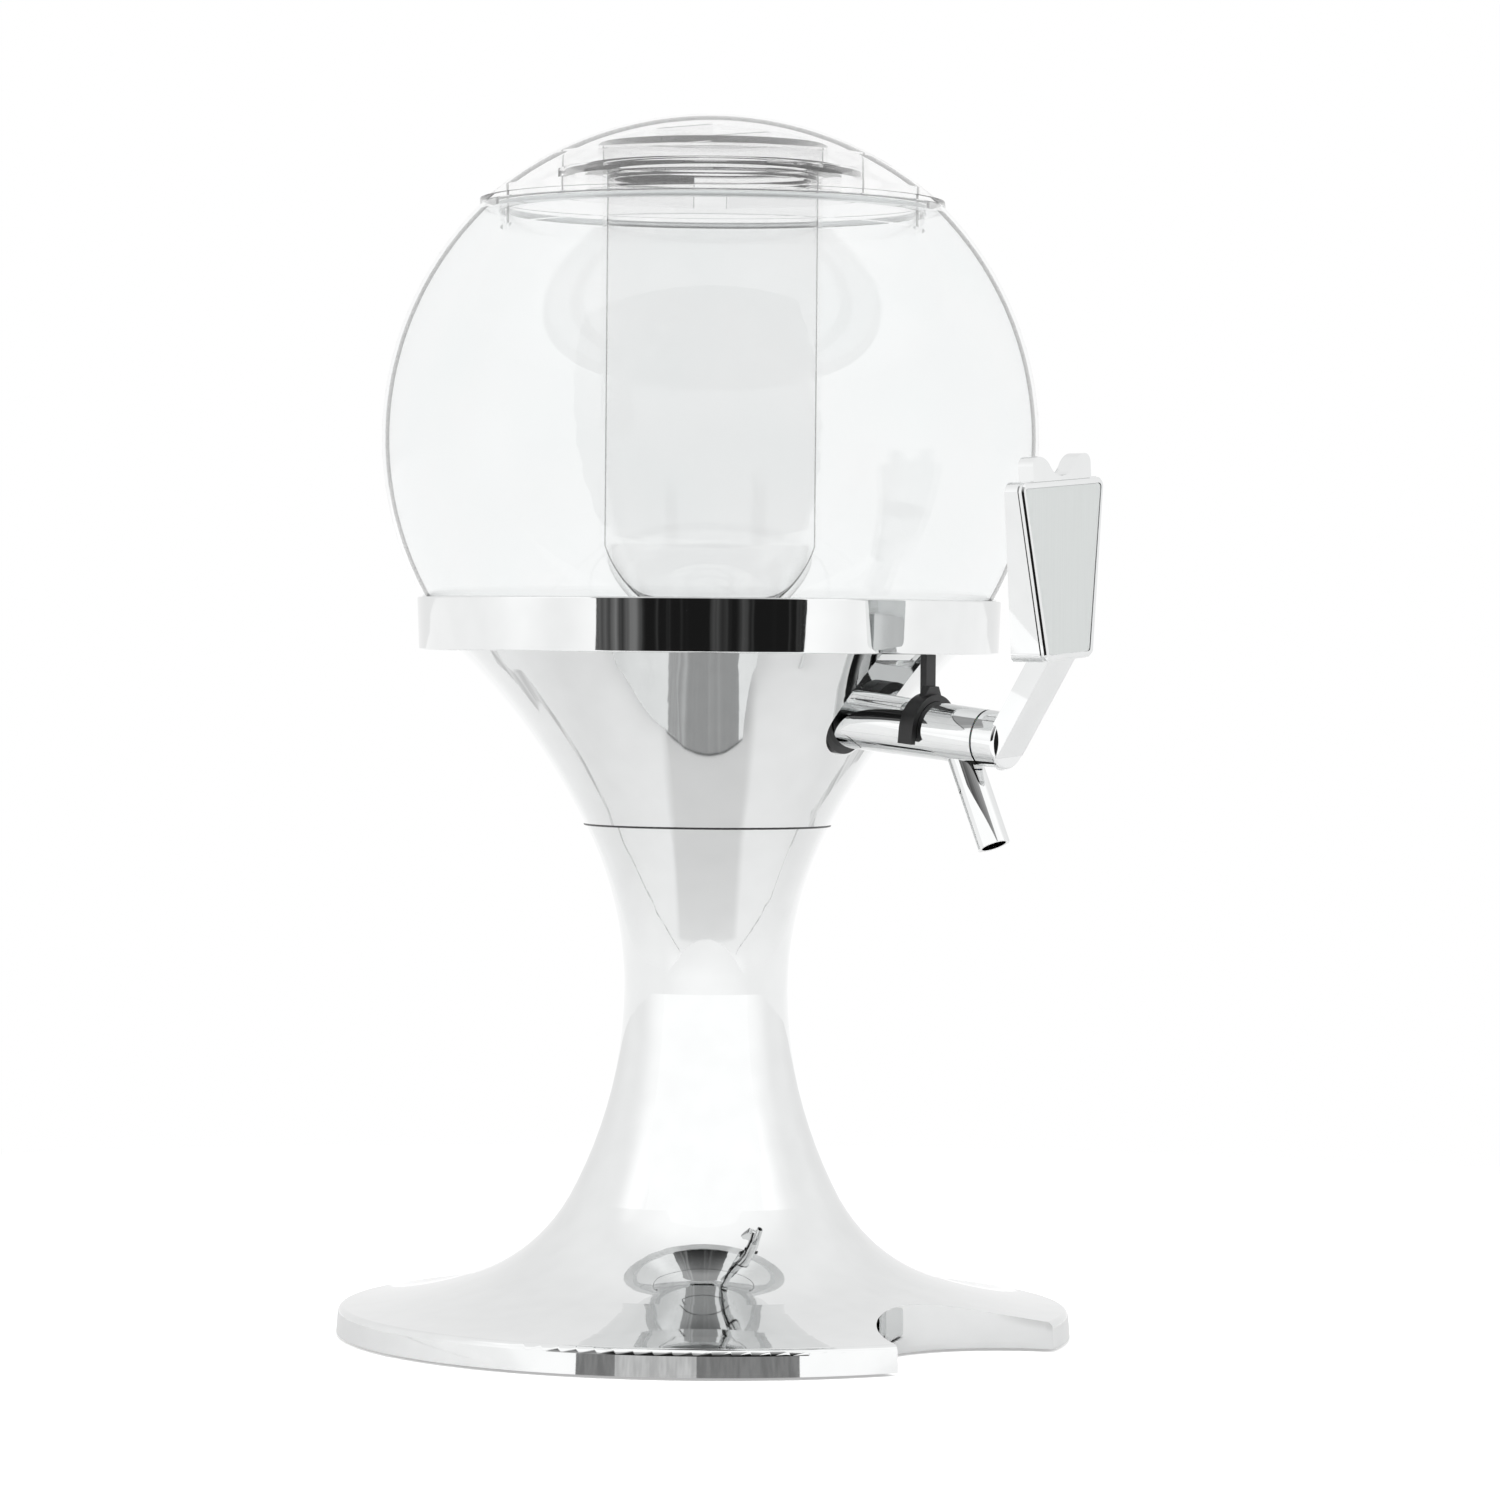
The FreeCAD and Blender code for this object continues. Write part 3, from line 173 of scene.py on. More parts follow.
# The funnel and the collar: chromed ABS like the stand. The funnel stands on the stand's plug, and
# the collar closes it and carries the globe's ledge.
dress("funnel_shell", chrome)
dress("collar_ring", chrome)


# The joint's shadow line: a thin ring in black rubber material between the funnel's lower edge and the
# stand's shoulder, put there as painted shade for the dark gap, which shows as a hairline round the neck.
def lathed_ring(name, radius, height, half_width, half_height, material):
    """A closed ring with a rounded section, on the stand's axis."""
    turns, section = 128, 12
    points = []
    for turn in (math.tau * step / turns for step in range(turns)):
        for lean in (math.tau * step / section for step in range(section)):
            reach = radius + half_width * math.cos(lean)
            level = height + half_height * math.sin(lean)
            points.append((reach * math.cos(turn), reach * math.sin(turn), level))
    faces = [(a * section + b, (a + 1) % turns * section + b, (a + 1) % turns * section + (b + 1) % section,
              a * section + (b + 1) % section) for a in range(turns) for b in range(section)]
    mesh = bpy.data.meshes.new(name)
    mesh.from_pydata(points, [], faces)
    mesh.materials.append(material)
    mesh.polygons.foreach_set("use_smooth", [True] * len(faces))
    ring = bpy.data.objects.new(name, mesh)
    bpy.context.scene.collection.objects.link(ring)
    return ring


JOINT_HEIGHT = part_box("funnel_shell")[0][2]
JOINT_RADIUS = 42.4 * MM
SHADOW_RING_INSET = 0.35 * MM
SHADOW_RING_WIDTH = 1.2 * MM
SHADOW_RING_THICKNESS = 0.9 * MM
# Painted shade: a dark ring standing in for the shade in the joint's gap
shadow_ring = lathed_ring("joint_shadow_line", JOINT_RADIUS - SHADOW_RING_INSET, JOINT_HEIGHT, SHADOW_RING_WIDTH / 2,
                     SHADOW_RING_THICKNESS / 2, black_rubber)
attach(shadow_ring, "upper_unit")

# The seal under the globe: a flat ring of moulded black rubber. It lies loose on the collar's
# floor, and the globe's ledge presses it tight.
dress("globe_seal", black_rubber)


# The globe: clear polystyrene, blown thin, with a mouth on top and a sump that drops into the
# funnel. It is polished in the mould, and its wall gives a faint grey to what is behind it.
def clear_polystyrene(name, tints, gloss_share):
    """Clear polystyrene: nearly colourless, faintly uneven where it cooled, and glaring at grazing angles."""
    material, tree = new_material(name)
    swell_width = 34 * MM
    wall_bend = 1.012
    grazing_share = 0.75
    place = add_node(tree, "ShaderNodeTexCoord").outputs["Object"]
    swell = add_node(tree, "ShaderNodeTexNoise", {"Scale": 1 / swell_width, "Detail": 1.0, "Roughness": 0.3},
                     {"Vector": place}).outputs["Fac"]
    tone = add_node(tree, "ShaderNodeMix", {"data_type": "RGBA", 6: linear(tints[0]), 7: linear(tints[1])},
                    {"Factor": swell})
    relief = add_node(tree, "ShaderNodeBump", {"Strength": 0.2, "Distance": 0.05 * MM},
                      {"Height": swell}).outputs["Normal"]
    # A thin wall shifts what is behind it by very little, so it bends light far less than a solid would
    through = add_node(tree, "ShaderNodeBsdfRefraction", {"IOR": wall_bend, "Roughness": 0.0}, {
        "Color": tone.outputs[2], "Normal": relief})
    gloss = add_node(tree, "ShaderNodeBsdfGlossy", {"Color": (1, 1, 1, 1), "Roughness": 0.01},
                     {"Normal": relief})
    grazing = add_node(tree, "ShaderNodeLayerWeight", {"Blend": 0.5}, {"Normal": relief}).outputs["Facing"]
    fifth = add_node(tree, "ShaderNodeMath", {"operation": "POWER", 1: 5.0}, {0: grazing}).outputs[0]
    share = add_node(tree, "ShaderNodeMapRange", {"To Min": gloss_share, "To Max": grazing_share},
                     {"Value": fifth})
    wall = add_node(tree, "ShaderNodeMixShader", {}, {
        "Fac": share.outputs["Result"], 1: through.outputs["BSDF"], 2: gloss.outputs["BSDF"]})
    shade = add_node(tree, "ShaderNodeBsdfTransparent", {"Color": linear("#F4F5F5")})
    rays = add_node(tree, "ShaderNodeLightPath").outputs
    shader = add_node(tree, "ShaderNodeMixShader", {}, {
        "Fac": rays["Is Shadow Ray"], 1: wall.outputs["Shader"], 2: shade.outputs["BSDF"]})
    add_node(tree, "ShaderNodeOutputMaterial", {}, {"Surface": shader.outputs["Shader"]})
    return material


dress("globe", clear_polystyrene("blown_clear_polystyrene", ("#FBFCFC", "#FDFDFD"), gloss_share=0.052))

# The grommet, washer and nut: the tap's threaded shank goes through the globe's sump, with a black
# rubber grommet outside, a rubber washer inside, and a nut of natural nylon that pulls them tight.
dress("tap_grommet", black_rubber)
dress("tap_washer", black_rubber)


def natural_nylon():
    """Natural nylon: milky white, a little see-through at its edges, and waxy rather than glossy."""
    material, tree = new_material("natural_nylon")
    cloud_width = 3 * MM
    place = add_node(tree, "ShaderNodeTexCoord").outputs["Object"]
    cloud = add_node(tree, "ShaderNodeTexNoise", {"Scale": 1 / cloud_width, "Detail": 2.0},
                     {"Vector": place}).outputs["Fac"]
    tone = add_node(tree, "ShaderNodeMix", {"data_type": "RGBA", 6: linear("#E9E8E2"), 7: linear("#F1F0EB")},
                    {"Factor": cloud})
    shader = add_node(tree, "ShaderNodeBsdfPrincipled", {
        "IOR": 1.53, "Roughness": 0.38, "Subsurface Weight": 0.3, "Subsurface Scale": 1.5 * MM}, {
        "Base Color": tone.outputs[2]})
    add_node(tree, "ShaderNodeOutputMaterial", {}, {"Surface": shader.outputs["BSDF"]})
    return material


nylon = natural_nylon()
dress("tap_nut", nylon)

# The tap: a barrel of chromed ABS that falls outwards, with a slanted spout near its end. A nylon
# plug with two rubber rings turns inside it.
dress("tap_body", chrome)
dress("valve_plug", nylon)
dress("valve_rings", black_rubber)

# The lever: a chromed cap on the plug's shaft, with a flat arm up to the handle. The handle is a
# chromed shell and front frame, with a panel faced in grey foil pressed into it.
for part in ("lever_arm", "handle_body", "handle_frame"):
    dress(part, chrome)


def satin_foil_on_abs():
    """Satin metallic foil: pale grey, with fine upright brushing that spreads the light sideways."""
    material, tree = new_material("satin_foil_on_abs")
    # Real brushing is finer, and is drawn as coarse as it needs to be to show
    line_width = 0.25 * MM
    line_length = 30 * MM
    place = add_node(tree, "ShaderNodeTexCoord").outputs["Object"]
    stretch = add_node(tree, "ShaderNodeMapping", {
        "Scale": (1 / line_width, 1 / line_width, 1 / line_length)}, {"Vector": place})
    lines = add_node(tree, "ShaderNodeTexNoise", {"Scale": 1.0, "Detail": 3.0},
                     {"Vector": stretch.outputs["Vector"]}).outputs["Fac"]
    tone = add_node(tree, "ShaderNodeMix", {"data_type": "RGBA", 6: linear("#C6C9C8"), 7: linear("#D2D5D4")},
                    {"Factor": lines})
    sheen = add_node(tree, "ShaderNodeMapRange", {"To Min": 0.38, "To Max": 0.5}, {"Value": lines})
    shader = add_node(tree, "ShaderNodeBsdfPrincipled", {"Metallic": 0.6}, {
        "Base Color": tone.outputs[2], "Roughness": sheen.outputs["Result"]})
    add_node(tree, "ShaderNodeOutputMaterial", {}, {"Surface": shader.outputs["BSDF"]})
    return material


dress("handle_panel", satin_foil_on_abs())

# The support clip: moulded black ABS, plugged into the collar's floor. Its strap, gusset and
# saddle hold the barrel up.
dress("support_clip", black_abs)

# The lid, the ice tube and its cap: clear polystyrene, moulded thicker than the globe. The tube
# hangs in the lid's holder by three lugs, and its cap has two ribs to turn it by.
moulded_plastic = clear_polystyrene("moulded_clear_polystyrene", ("#FEFEFE", "#FFFFFF"), gloss_share=0.03)
for part in ("lid", "ice_tube", "ice_tube_cap"):
    dress(part, moulded_plastic)


# The lid's seal: a soft ring of moulded clear silicone. It sits in the groove round the lid's
# skirt and closes the globe's mouth.
def clear_silicone():
    """Silicone rubber: see-through but milky, soft and a little dull."""
    material, tree = new_material("clear_silicone")
    cloud_width = 4 * MM
    place = add_node(tree, "ShaderNodeTexCoord").outputs["Object"]
    cloud = add_node(tree, "ShaderNodeTexNoise", {"Scale": 1 / cloud_width, "Detail": 2.0},
                     {"Vector": place}).outputs["Fac"]
    tone = add_node(tree, "ShaderNodeMix", {"data_type": "RGBA", 6: linear("#E6E8E9"), 7: linear("#F0F1F1")},
                    {"Factor": cloud})
    shader = add_node(tree, "ShaderNodeBsdfPrincipled", {
        "IOR": 1.41, "Roughness": 0.35, "Transmission Weight": 0.8}, {"Base Color": tone.outputs[2]})
    add_node(tree, "ShaderNodeOutputMaterial", {}, {"Surface": shader.outputs["BSDF"]})
    return material


dress("lid_seal", clear_silicone())

# The white board: the stand's floor, coated card in a small tent of white cloth that is open in
# front. It takes a shadow near the stand, and far off it is as bright as the cloth. Chrome shows it
# greyer towards the dark opening, up to the cloth's hem, by painted shade that only mirrored rays
# see, and brighter past the hem in front, by painted light.
CAMERA_AZIMUTH = -50
FLOOR_REACH = 12
SHADOW_REACH = (0.20, 0.75)
NEAR_GLOW = 0.45
PAINTED_SHADE_SECTOR = (0.74, 0.84)
HEM_REACH = (0.40, 0.43)
FAR_LEVEL = 1.12
PAST_HEM_PAINTED_LIGHT = 0.15
BEYOND_HEM_SECTOR = (0.5, 0.8)
BEYOND_HEM_REACH = (0.43, 0.6)
SMOOTH = {"interpolation_type": "SMOOTHSTEP"}


def on_circle(azimuth, radius, height):
    """A point round the stand, with azimuth 0 on the tap's side."""
    turn = math.radians(azimuth)
    return Vector((radius * math.sin(turn), -radius * math.cos(turn), height))


forward_way = on_circle(CAMERA_AZIMUTH, 1, 0)
across = on_circle(CAMERA_AZIMUTH + 90, 1, 0)


def in_tent(ahead, side, height):
    """A point in the tent: so far towards the opening, so far to its right, and so high."""
    return forward_way * ahead + across * side + Vector((0, 0, height))


def flat_sheet(name, corners, material):
    """One flat face through its corners, part of the studio."""
    mesh = bpy.data.meshes.new(name)
    mesh.from_pydata(corners, [], [list(range(len(corners)))])
    mesh.materials.append(material)
    sheet = bpy.data.objects.new(name, mesh)
    bpy.context.scene.collection.objects.link(sheet)
    return sheet


def straight_view(tree):
    """1 for rays from the camera, straight or through clear plastic, and 0 for all others."""
    rays = add_node(tree, "ShaderNodeLightPath").outputs
    return add_node(tree, "ShaderNodeMath", {"operation": "MAXIMUM"}, {
        0: rays["Is Camera Ray"], 1: rays["Is Transmission Ray"]}).outputs[0]


def level_by_ray(tree, seen, mirrored, otherwise):
    """One level for straight views, one from a socket for mirrored rays, and one for all others."""
    rays = add_node(tree, "ShaderNodeLightPath").outputs
    rest = add_node(tree, "ShaderNodeMix", {"data_type": "FLOAT", "A": otherwise}, {
        "Factor": rays["Is Glossy Ray"], "B": mirrored}).outputs[0]
    return add_node(tree, "ShaderNodeMix", {"data_type": "FLOAT", "B": seen}, {
        "Factor": straight_view(tree), "A": rest}).outputs[0]


def white_board():
    """Coated board: white and dull near the stand, with painted shade towards the opening and painted light
    past the hem.
    """
    material, tree = new_material("white_board")
    spot = add_node(tree, "ShaderNodeNewGeometry").outputs["Position"]
    reach = add_node(tree, "ShaderNodeVectorMath", {"operation": "LENGTH"}, {0: spot}).outputs["Value"]
    ahead = add_node(tree, "ShaderNodeVectorMath", {"operation": "DOT_PRODUCT", 1: forward_way}, {0: spot})
    facing = add_node(tree, "ShaderNodeMath", {"operation": "DIVIDE"}, {
        0: ahead.outputs["Value"], 1: reach}).outputs[0]
    rays = add_node(tree, "ShaderNodeLightPath").outputs
    # Painted shade: mirrored rays see the board turn grey (#CFCFCF) in a sector towards the opening, inside
    # the hem
    painted_shade_sector = add_node(tree, "ShaderNodeMapRange", SMOOTH | {
        "From Min": PAINTED_SHADE_SECTOR[0], "From Max": PAINTED_SHADE_SECTOR[1]}, {"Value": facing})
    inside_hem = add_node(tree, "ShaderNodeMapRange", SMOOTH | {
        "From Min": HEM_REACH[1], "From Max": HEM_REACH[0]}, {"Value": reach})
    painted_shade_mask = add_node(tree, "ShaderNodeMath", {"operation": "MULTIPLY"}, {
        0: painted_shade_sector.outputs["Result"], 1: inside_hem.outputs["Result"]})
    grey = add_node(tree, "ShaderNodeMath", {"operation": "MULTIPLY"}, {
        0: painted_shade_mask.outputs[0], 1: rays["Is Glossy Ray"]})
    tone = add_node(tree, "ShaderNodeMix", {"data_type": "RGBA", 6: linear("#E8E8E8"), 7: linear("#CFCFCF")},
                    {"Factor": grey.outputs[0]})
    near_glow = add_node(tree, "ShaderNodeMath", {"operation": "MULTIPLY", 1: NEAR_GLOW}, {
        0: straight_view(tree)})
    near = add_node(tree, "ShaderNodeBsdfPrincipled", {"Roughness": 0.9, "Emission Color": (1, 1, 1, 1)}, {
        "Base Color": tone.outputs[2], "Emission Strength": near_glow.outputs[0]})
    # Painted light: past the hem in front, mirrored rays see the board glow brighter still
    in_front = add_node(tree, "ShaderNodeMapRange", SMOOTH | {
        "From Min": BEYOND_HEM_SECTOR[0], "From Max": BEYOND_HEM_SECTOR[1]}, {"Value": facing})
    past_hem = add_node(tree, "ShaderNodeMapRange", SMOOTH | {
        "From Min": BEYOND_HEM_REACH[0], "From Max": BEYOND_HEM_REACH[1]}, {"Value": reach})
    painted_light_past_hem = add_node(tree, "ShaderNodeMath", {"operation": "MULTIPLY"}, {
        0: in_front.outputs["Result"], 1: past_hem.outputs["Result"]})
    far_level = add_node(tree, "ShaderNodeMath", {
        "operation": "MULTIPLY_ADD", 1: PAST_HEM_PAINTED_LIGHT, 2: FAR_LEVEL}, {0: painted_light_past_hem.outputs[0]})
    far = add_node(tree, "ShaderNodeEmission", {}, {
        "Strength": level_by_ray(tree, seen=1.0, mirrored=far_level.outputs[0], otherwise=0.5)})
    far_share = add_node(tree, "ShaderNodeMapRange", {
        "From Min": SHADOW_REACH[0], "From Max": SHADOW_REACH[1]}, {"Value": reach})
    sheet = add_node(tree, "ShaderNodeMixShader", {}, {
        "Fac": far_share.outputs["Result"], 1: near.outputs["BSDF"], 2: far.outputs["Emission"]})
    add_node(tree, "ShaderNodeOutputMaterial", {}, {"Surface": sheet.outputs["Shader"]})
    return material


flat_sheet("floor", [(-FLOOR_REACH, -FLOOR_REACH, 0), (FLOOR_REACH, -FLOOR_REACH, 0),
                     (FLOOR_REACH, FLOOR_REACH, 0), (-FLOOR_REACH, FLOOR_REACH, 0)], white_board())

# The creases: the folds where the tent's cloth sides meet the board, which chrome shows as thin
# grey lines. Each runs from back to front, through points given by their way ahead and to the side.
CREASE_WIDTH = 8 * MM
CREASE_LIFT = 0.4 * MM
LEFT_CREASE = ((-0.40, -0.29), (-0.25, -0.285), (-0.186, -0.268), (-0.061, -0.275), (0.027, -0.305),
               (0.136, -0.32), (0.276, -0.31), (0.40, -0.30))
RIGHT_CREASE = ((-0.40, 0.31), (-0.136, 0.285), (-0.076, 0.275), (-0.045, 0.28), (0.031, 0.345),
                (0.202, 0.35), (0.40, 0.33))


def mirrored_only(prop):
    """Leaves a prop to chrome and plastic reflections alone."""
    prop.visible_camera = False
    prop.visible_diffuse = False
    prop.visible_transmission = False
    prop.visible_shadow = False


def shaded_crease():
    """Folded cloth: grey in its own shade, lighter and darker along the fold."""
    material, tree = new_material("shaded_crease")
    wander_width = 33.3 * MM
    spot = add_node(tree, "ShaderNodeNewGeometry").outputs["Position"]
    wander = add_node(tree, "ShaderNodeTexNoise", {"Scale": 1 / wander_width}, {"Vector": spot})
    level = add_node(tree, "ShaderNodeMapRange", SMOOTH | {
        "From Min": 0.3, "From Max": 0.7, "To Min": 0.6, "To Max": 0.92}, {"Value": wander.outputs["Fac"]})
    glow = add_node(tree, "ShaderNodeEmission", {}, {"Strength": level.outputs["Result"]})
    add_node(tree, "ShaderNodeOutputMaterial", {}, {"Surface": glow.outputs["Emission"]})
    return material


fold = shaded_crease()
for crease in (LEFT_CREASE, RIGHT_CREASE):
    for start, end in zip(crease, crease[1:]):
        corners = ((start, 0), (end, 0), (end, CREASE_WIDTH), (start, CREASE_WIDTH))
        mirrored_only(flat_sheet("crease", [
            in_tent(ahead, side + shift, CREASE_LIFT) for (ahead, side), shift in corners], fold))

# The opening: the dark room in front of the tent, seen between two hems of cloth that hang a
# little ragged. The room is lighter towards its ceiling, and folds of dark cloth gleam in it.
# Each wave of a hem has its depth, its radians for a metre of height, and its lead.
OPENING_AHEAD = 0.430
OPENING_HEIGHTS = (0.03, 0.78)
LEFT_HEM = 0.335
LEFT_HEM_SPREAD = 0.16
RIGHT_HEM = 0.29
HEM_STEPS = 40
HEM_WAVES = ((6 * MM, 61, 0), (4 * MM, 173, 1))


def dark_room_behind_folds():
    """A dark room: near black, with soft upright gleams, a glow by the left hem and a grey ceiling."""
    material, tree = new_material("dark_room_behind_folds")
    fold_width = 60 * MM
    hem_glow_sides = (-0.17, -0.21)
    hem_glow_level = 0.14
    ceiling_heights = (0.24, 0.52)
    ceiling_level = 0.48
    spot = add_node(tree, "ShaderNodeNewGeometry").outputs["Position"]
    sideways = add_node(tree, "ShaderNodeVectorMath", {"operation": "DOT_PRODUCT", 1: across},
                        {0: spot}).outputs["Value"]
    height = add_node(tree, "ShaderNodeSeparateXYZ", {}, {0: spot}).outputs["Z"]
    folds = add_node(tree, "ShaderNodeTexNoise", {
        "noise_dimensions": "1D", "Scale": 1 / fold_width, "Detail": 3.0}, {"W": sideways}).outputs["Fac"]
    gleam = add_node(tree, "ShaderNodeMapRange", SMOOTH | {
        "From Min": 0.48, "From Max": 0.78, "To Min": 0.012, "To Max": 0.12}, {"Value": folds})
    by_hem = add_node(tree, "ShaderNodeMapRange", SMOOTH | {
        "From Min": hem_glow_sides[0], "From Max": hem_glow_sides[1], "To Max": hem_glow_level},
        {"Value": sideways})
    on_folds = add_node(tree, "ShaderNodeMapRange", SMOOTH | {
        "From Min": 0.3, "From Max": 0.6}, {"Value": folds})
    ceiling = add_node(tree, "ShaderNodeMapRange", SMOOTH | {
        "From Min": ceiling_heights[0], "From Max": ceiling_heights[1], "To Max": ceiling_level},
        {"Value": height})
    hem_and_gleam = add_node(tree, "ShaderNodeMath", {"operation": "MULTIPLY_ADD"}, {
        0: by_hem.outputs["Result"], 1: on_folds.outputs["Result"], 2: gleam.outputs["Result"]})
    level = add_node(tree, "ShaderNodeMath", {"operation": "ADD"}, {
        0: hem_and_gleam.outputs[0], 1: ceiling.outputs["Result"]})
    glow = add_node(tree, "ShaderNodeEmission", {}, {"Strength": level.outputs[0]})
    add_node(tree, "ShaderNodeOutputMaterial", {}, {"Surface": glow.outputs["Emission"]})
    return material


def hem_point(side, share):
    """A point on the left hem (side -1) or the right one (side 1), at a share of the opening's height."""
    high = OPENING_HEIGHTS[0] + (OPENING_HEIGHTS[1] - OPENING_HEIGHTS[0]) * share
    hem = RIGHT_HEM if side > 0 else LEFT_HEM + LEFT_HEM_SPREAD * share
    ragged = sum(depth * math.sin(turns * high + lead) for depth, turns, lead in HEM_WAVES)
    return in_tent(OPENING_AHEAD, side * hem + ragged, high)


shares = [step / HEM_STEPS for step in range(HEM_STEPS + 1)]
outline = [hem_point(-1, share) for share in reversed(shares)] + [hem_point(1, share) for share in shares]
mirrored_only(flat_sheet("tent_opening", outline, dark_room_behind_folds()))

# The hem's foot: three lengths of cloth that hang short of the board, the middle one better lit.
# The foot's edge mirrors them as a broken dark line. Each has its left end, right end and level.
HEM_FOOT = ((-0.295, -0.184, 0.25), (-0.184, -0.012, 0.64), (-0.012, 0.207, 0.25))
HEM_FOOT_HEIGHTS = (0.001, 0.029)


def shaded_cloth(level):
    """White cloth in shade: an even grey, a little lighter and darker with its weave."""
    material, tree = new_material("shaded_cloth")
    weave_width = 11.1 * MM
    spot = add_node(tree, "ShaderNodeNewGeometry").outputs["Position"]
    weave = add_node(tree, "ShaderNodeTexNoise", {"Scale": 1 / weave_width}, {"Vector": spot})
    shade = add_node(tree, "ShaderNodeMapRange", SMOOTH | {
        "From Min": 0.3, "From Max": 0.7, "To Min": level * 0.85, "To Max": level * 1.15},
        {"Value": weave.outputs["Fac"]})
    glow = add_node(tree, "ShaderNodeEmission", {}, {"Strength": shade.outputs["Result"]})
    add_node(tree, "ShaderNodeOutputMaterial", {}, {"Surface": glow.outputs["Emission"]})
    return material


low, high = HEM_FOOT_HEIGHTS
for start, end, level in HEM_FOOT:
    corners = ((start, low), (end, low), (end, high), (start, high))
    mirrored_only(flat_sheet("hem_foot", [in_tent(OPENING_AHEAD, *corner) for corner in corners],
                             shaded_cloth(level)))

# The white card: a lit sheet that leans over the foot in front of the stem, and fades a little at
# its foot. Only the stem's own mirror shows it, and no second reflection does.
CARD_FOOT = (0.160, 0.089)
CARD_TOP = (0.126, 0.2035)
CARD_HALF = 0.24


def white_card():
    """Coated card in full light: brighter than white, and softer at its lower edge."""
    material, tree = new_material("white_card")
    fade_height = 0.03
    foot_level = 1.13
    full_level = 1.31
    spot = add_node(tree, "ShaderNodeNewGeometry").outputs["Position"]
    height = add_node(tree, "ShaderNodeSeparateXYZ", {}, {0: spot}).outputs["Z"]
    level = add_node(tree, "ShaderNodeMapRange", SMOOTH | {
        "From Min": CARD_FOOT[1], "From Max": CARD_FOOT[1] + fade_height,
        "To Min": foot_level, "To Max": full_level}, {"Value": height})
    lit = add_node(tree, "ShaderNodeEmission", {}, {"Strength": level.outputs["Result"]})
    clear = add_node(tree, "ShaderNodeBsdfTransparent")
    bounces = add_node(tree, "ShaderNodeLightPath").outputs["Ray Depth"]
    first = add_node(tree, "ShaderNodeMath", {"operation": "LESS_THAN", 1: 1.5}, {0: bounces})
    shown = add_node(tree, "ShaderNodeMixShader", {}, {
        "Fac": first.outputs[0], 1: clear.outputs["BSDF"], 2: lit.outputs["Emission"]})
    add_node(tree, "ShaderNodeOutputMaterial", {}, {"Surface": shown.outputs["Shader"]})
    return material


corners = ((-1, CARD_FOOT), (1, CARD_FOOT), (1, CARD_TOP), (-1, CARD_TOP))
mirrored_only(flat_sheet("stem_card", [
    in_tent(ahead, side * CARD_HALF, high) for side, (ahead, high) in corners], white_card()))

# The lit spots: two soft pools of light on the tent's cloth sides, level with the globe, which
# gives them back as pale glares. Each spot is a distance ahead, one to the side, a height and a radius.
SPOTS = ((0.13, -0.33, 0.30, 0.13), (0.17, 0.33, 0.30, 0.14))
SPOT_CORNERS = 24


def lit_cloth(centre, radius):
    """White cloth with a lamp behind it: brightest in the middle, and fading out to its rim."""
    material, tree = new_material("lit_cloth")
    lamp_level = 1.6
    middle_share = 0.5
    spot = add_node(tree, "ShaderNodeNewGeometry").outputs["Position"]
    off_centre = add_node(tree, "ShaderNodeVectorMath", {"operation": "DISTANCE", 1: centre}, {0: spot})
    share = add_node(tree, "ShaderNodeMapRange", SMOOTH | {
        "From Min": radius, "From Max": 0.0, "To Max": middle_share}, {"Value": off_centre.outputs["Value"]})
    lit = add_node(tree, "ShaderNodeEmission", {"Strength": lamp_level})
    clear = add_node(tree, "ShaderNodeBsdfTransparent")
    shown = add_node(tree, "ShaderNodeMixShader", {}, {
        "Fac": share.outputs["Result"], 1: clear.outputs["BSDF"], 2: lit.outputs["Emission"]})
    add_node(tree, "ShaderNodeOutputMaterial", {}, {"Surface": shown.outputs["Shader"]})
    return material


turns = [math.tau * step / SPOT_CORNERS for step in range(SPOT_CORNERS)]
for ahead, side, high, radius in SPOTS:
    mirrored_only(flat_sheet("lit_spot", [
        in_tent(ahead + radius * math.cos(turn), side, high + radius * math.sin(turn)) for turn in turns],
        lit_cloth(in_tent(ahead, side, high), radius)))


# The tent's cloth: white and lit from outside on all sides, a little dimmer behind the stand and
# brightest in front, which chrome mirrors.
def white_tent():
    """The light of the cloth in each direction."""
    world = bpy.data.worlds.new("white_tent")
    world.use_nodes = True
    tree = world.node_tree
    tree.nodes.clear()
    back_facing = (-0.95, -0.4)
    back_levels = (0.95, 1.06)
    front_facing = (-0.2, 0.5)
    front_lift = 0.22
    way = add_node(tree, "ShaderNodeTexCoord").outputs["Generated"]
    facing = add_node(tree, "ShaderNodeVectorMath", {"operation": "DOT_PRODUCT", 1: forward_way},
                      {0: way}).outputs["Value"]
    back = add_node(tree, "ShaderNodeMapRange", SMOOTH | {
        "From Min": back_facing[0], "From Max": back_facing[1],
        "To Min": back_levels[0], "To Max": back_levels[1]}, {"Value": facing})
    front = add_node(tree, "ShaderNodeMapRange", SMOOTH | {
        "From Min": front_facing[0], "From Max": front_facing[1], "To Max": front_lift}, {"Value": facing})
    level = add_node(tree, "ShaderNodeMath", {"operation": "ADD"}, {
        0: back.outputs["Result"], 1: front.outputs["Result"]})
    glow = add_node(tree, "ShaderNodeBackground", {"Color": (1, 1, 1, 1)}, {
        "Strength": level_by_ray(tree, seen=1.0, mirrored=level.outputs[0], otherwise=0.55)})
    add_node(tree, "ShaderNodeOutputWorld", {}, {"Surface": glow.outputs["Background"]})
    return world


bpy.context.scene.world = white_tent()

# The lamps: three soft boxes outside the cloth, left, right and above. They light the stand and
# throw its shadow, and no reflection shows them.
LAMP_TARGET = Vector((0, 0, 0.25))


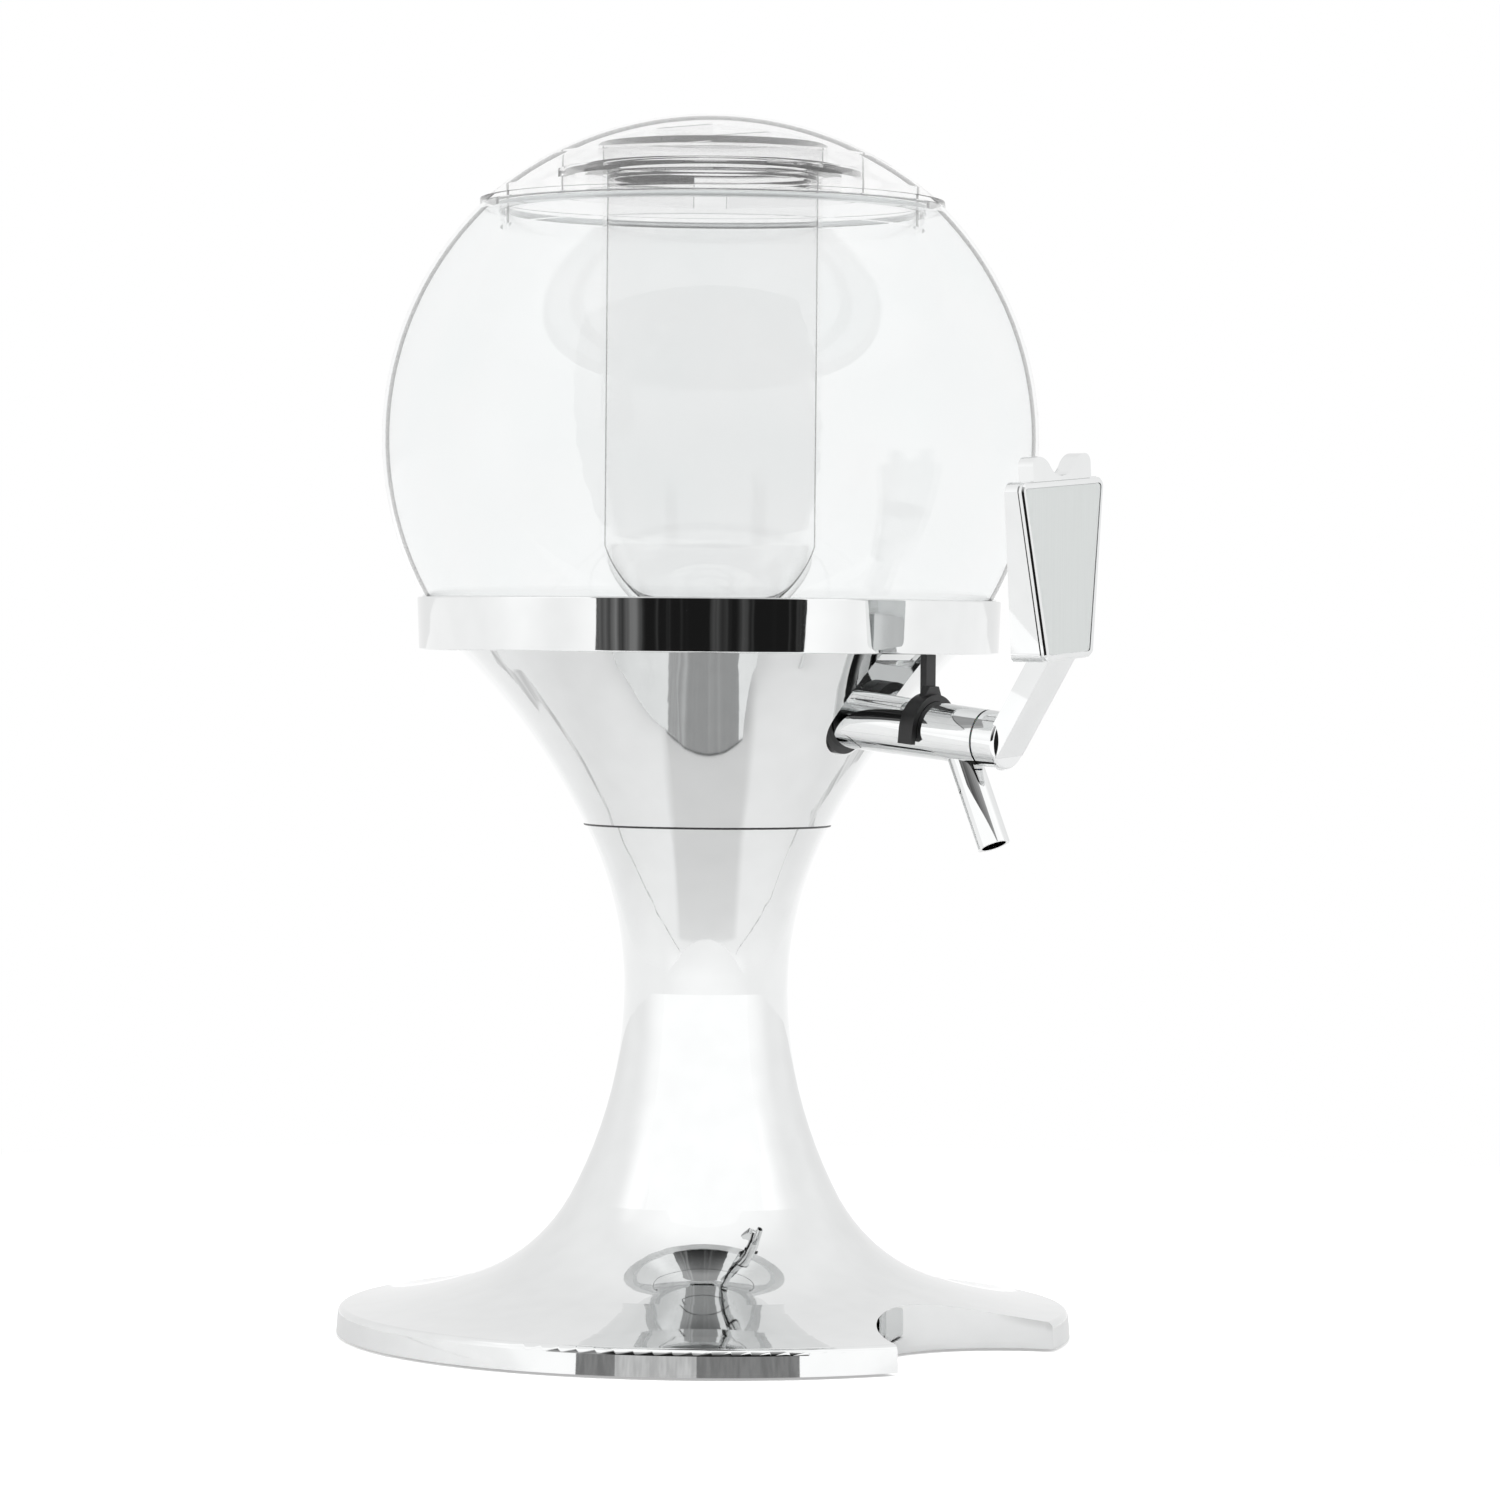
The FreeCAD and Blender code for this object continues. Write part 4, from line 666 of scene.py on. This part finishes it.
def soft_lamp(name, azimuth, elevation, distance, sides, power):
    """A rectangular soft lamp that faces the middle of the globe."""
    level = math.radians(elevation)
    spot = on_circle(azimuth, distance * math.cos(level), LAMP_TARGET.z + distance * math.sin(level))
    light = bpy.data.lights.new(name, "AREA")
    light.shape = "RECTANGLE"
    light.size, light.size_y = sides
    light.energy = power
    lamp = bpy.data.objects.new(name, light)
    lamp.visible_glossy = False
    lamp.visible_transmission = False
    bpy.context.scene.collection.objects.link(lamp)
    lamp.location = spot
    lamp.rotation_mode = "QUATERNION"
    lamp.rotation_quaternion = (LAMP_TARGET - spot).to_track_quat("-Z", "Y")


for name, turn in (("left_softbox", -70), ("right_softbox", 75)):
    soft_lamp(name, CAMERA_AZIMUTH + turn, elevation=25, distance=1.8, sides=(1.0, 1.4), power=16)
soft_lamp("top_softbox", CAMERA_AZIMUTH, elevation=75, distance=1.9, sides=(1.4, 1.4), power=18)

# The camera: it stands where the photograph was taken, with the horizon, the stand's axis and the
# lean at their places in the picture. Rows, columns and the view's length are in the photo's pixels.
CAMERA_DISTANCE = 1.964
CAMERA_HEIGHT = 0.238
SENSOR_WIDTH = 36
PHOTO_SIDE = 1500
VIEW_LENGTH = 5700
HORIZON_ROW = 645
AXIS_COLUMN = 708
LEAN = 0.5
camera_data = bpy.data.cameras.new("camera")
camera_data.sensor_width = SENSOR_WIDTH
camera_data.lens = VIEW_LENGTH / PHOTO_SIDE * SENSOR_WIDTH
camera = bpy.data.objects.new("camera", camera_data)
bpy.context.scene.collection.objects.link(camera)
bpy.context.scene.camera = camera
camera.location = on_circle(CAMERA_AZIMUTH, CAMERA_DISTANCE, CAMERA_HEIGHT)
pitch = math.atan((PHOTO_SIDE / 2 - HORIZON_ROW) / VIEW_LENGTH)
yaw = math.atan((PHOTO_SIDE / 2 - AXIS_COLUMN) / VIEW_LENGTH)
forward = Vector((-camera.location.x, -camera.location.y, 0)).normalized()
forward.rotate(Quaternion((0, 0, 1), -yaw))
forward = (forward - Vector((0, 0, math.tan(pitch)))).normalized()
camera.rotation_mode = "QUATERNION"
camera.rotation_quaternion = forward.to_track_quat("-Z", "Y") @ Quaternion((0, 0, 1), math.radians(LEAN))

bpy.context.scene.view_settings.view_transform = "Standard"
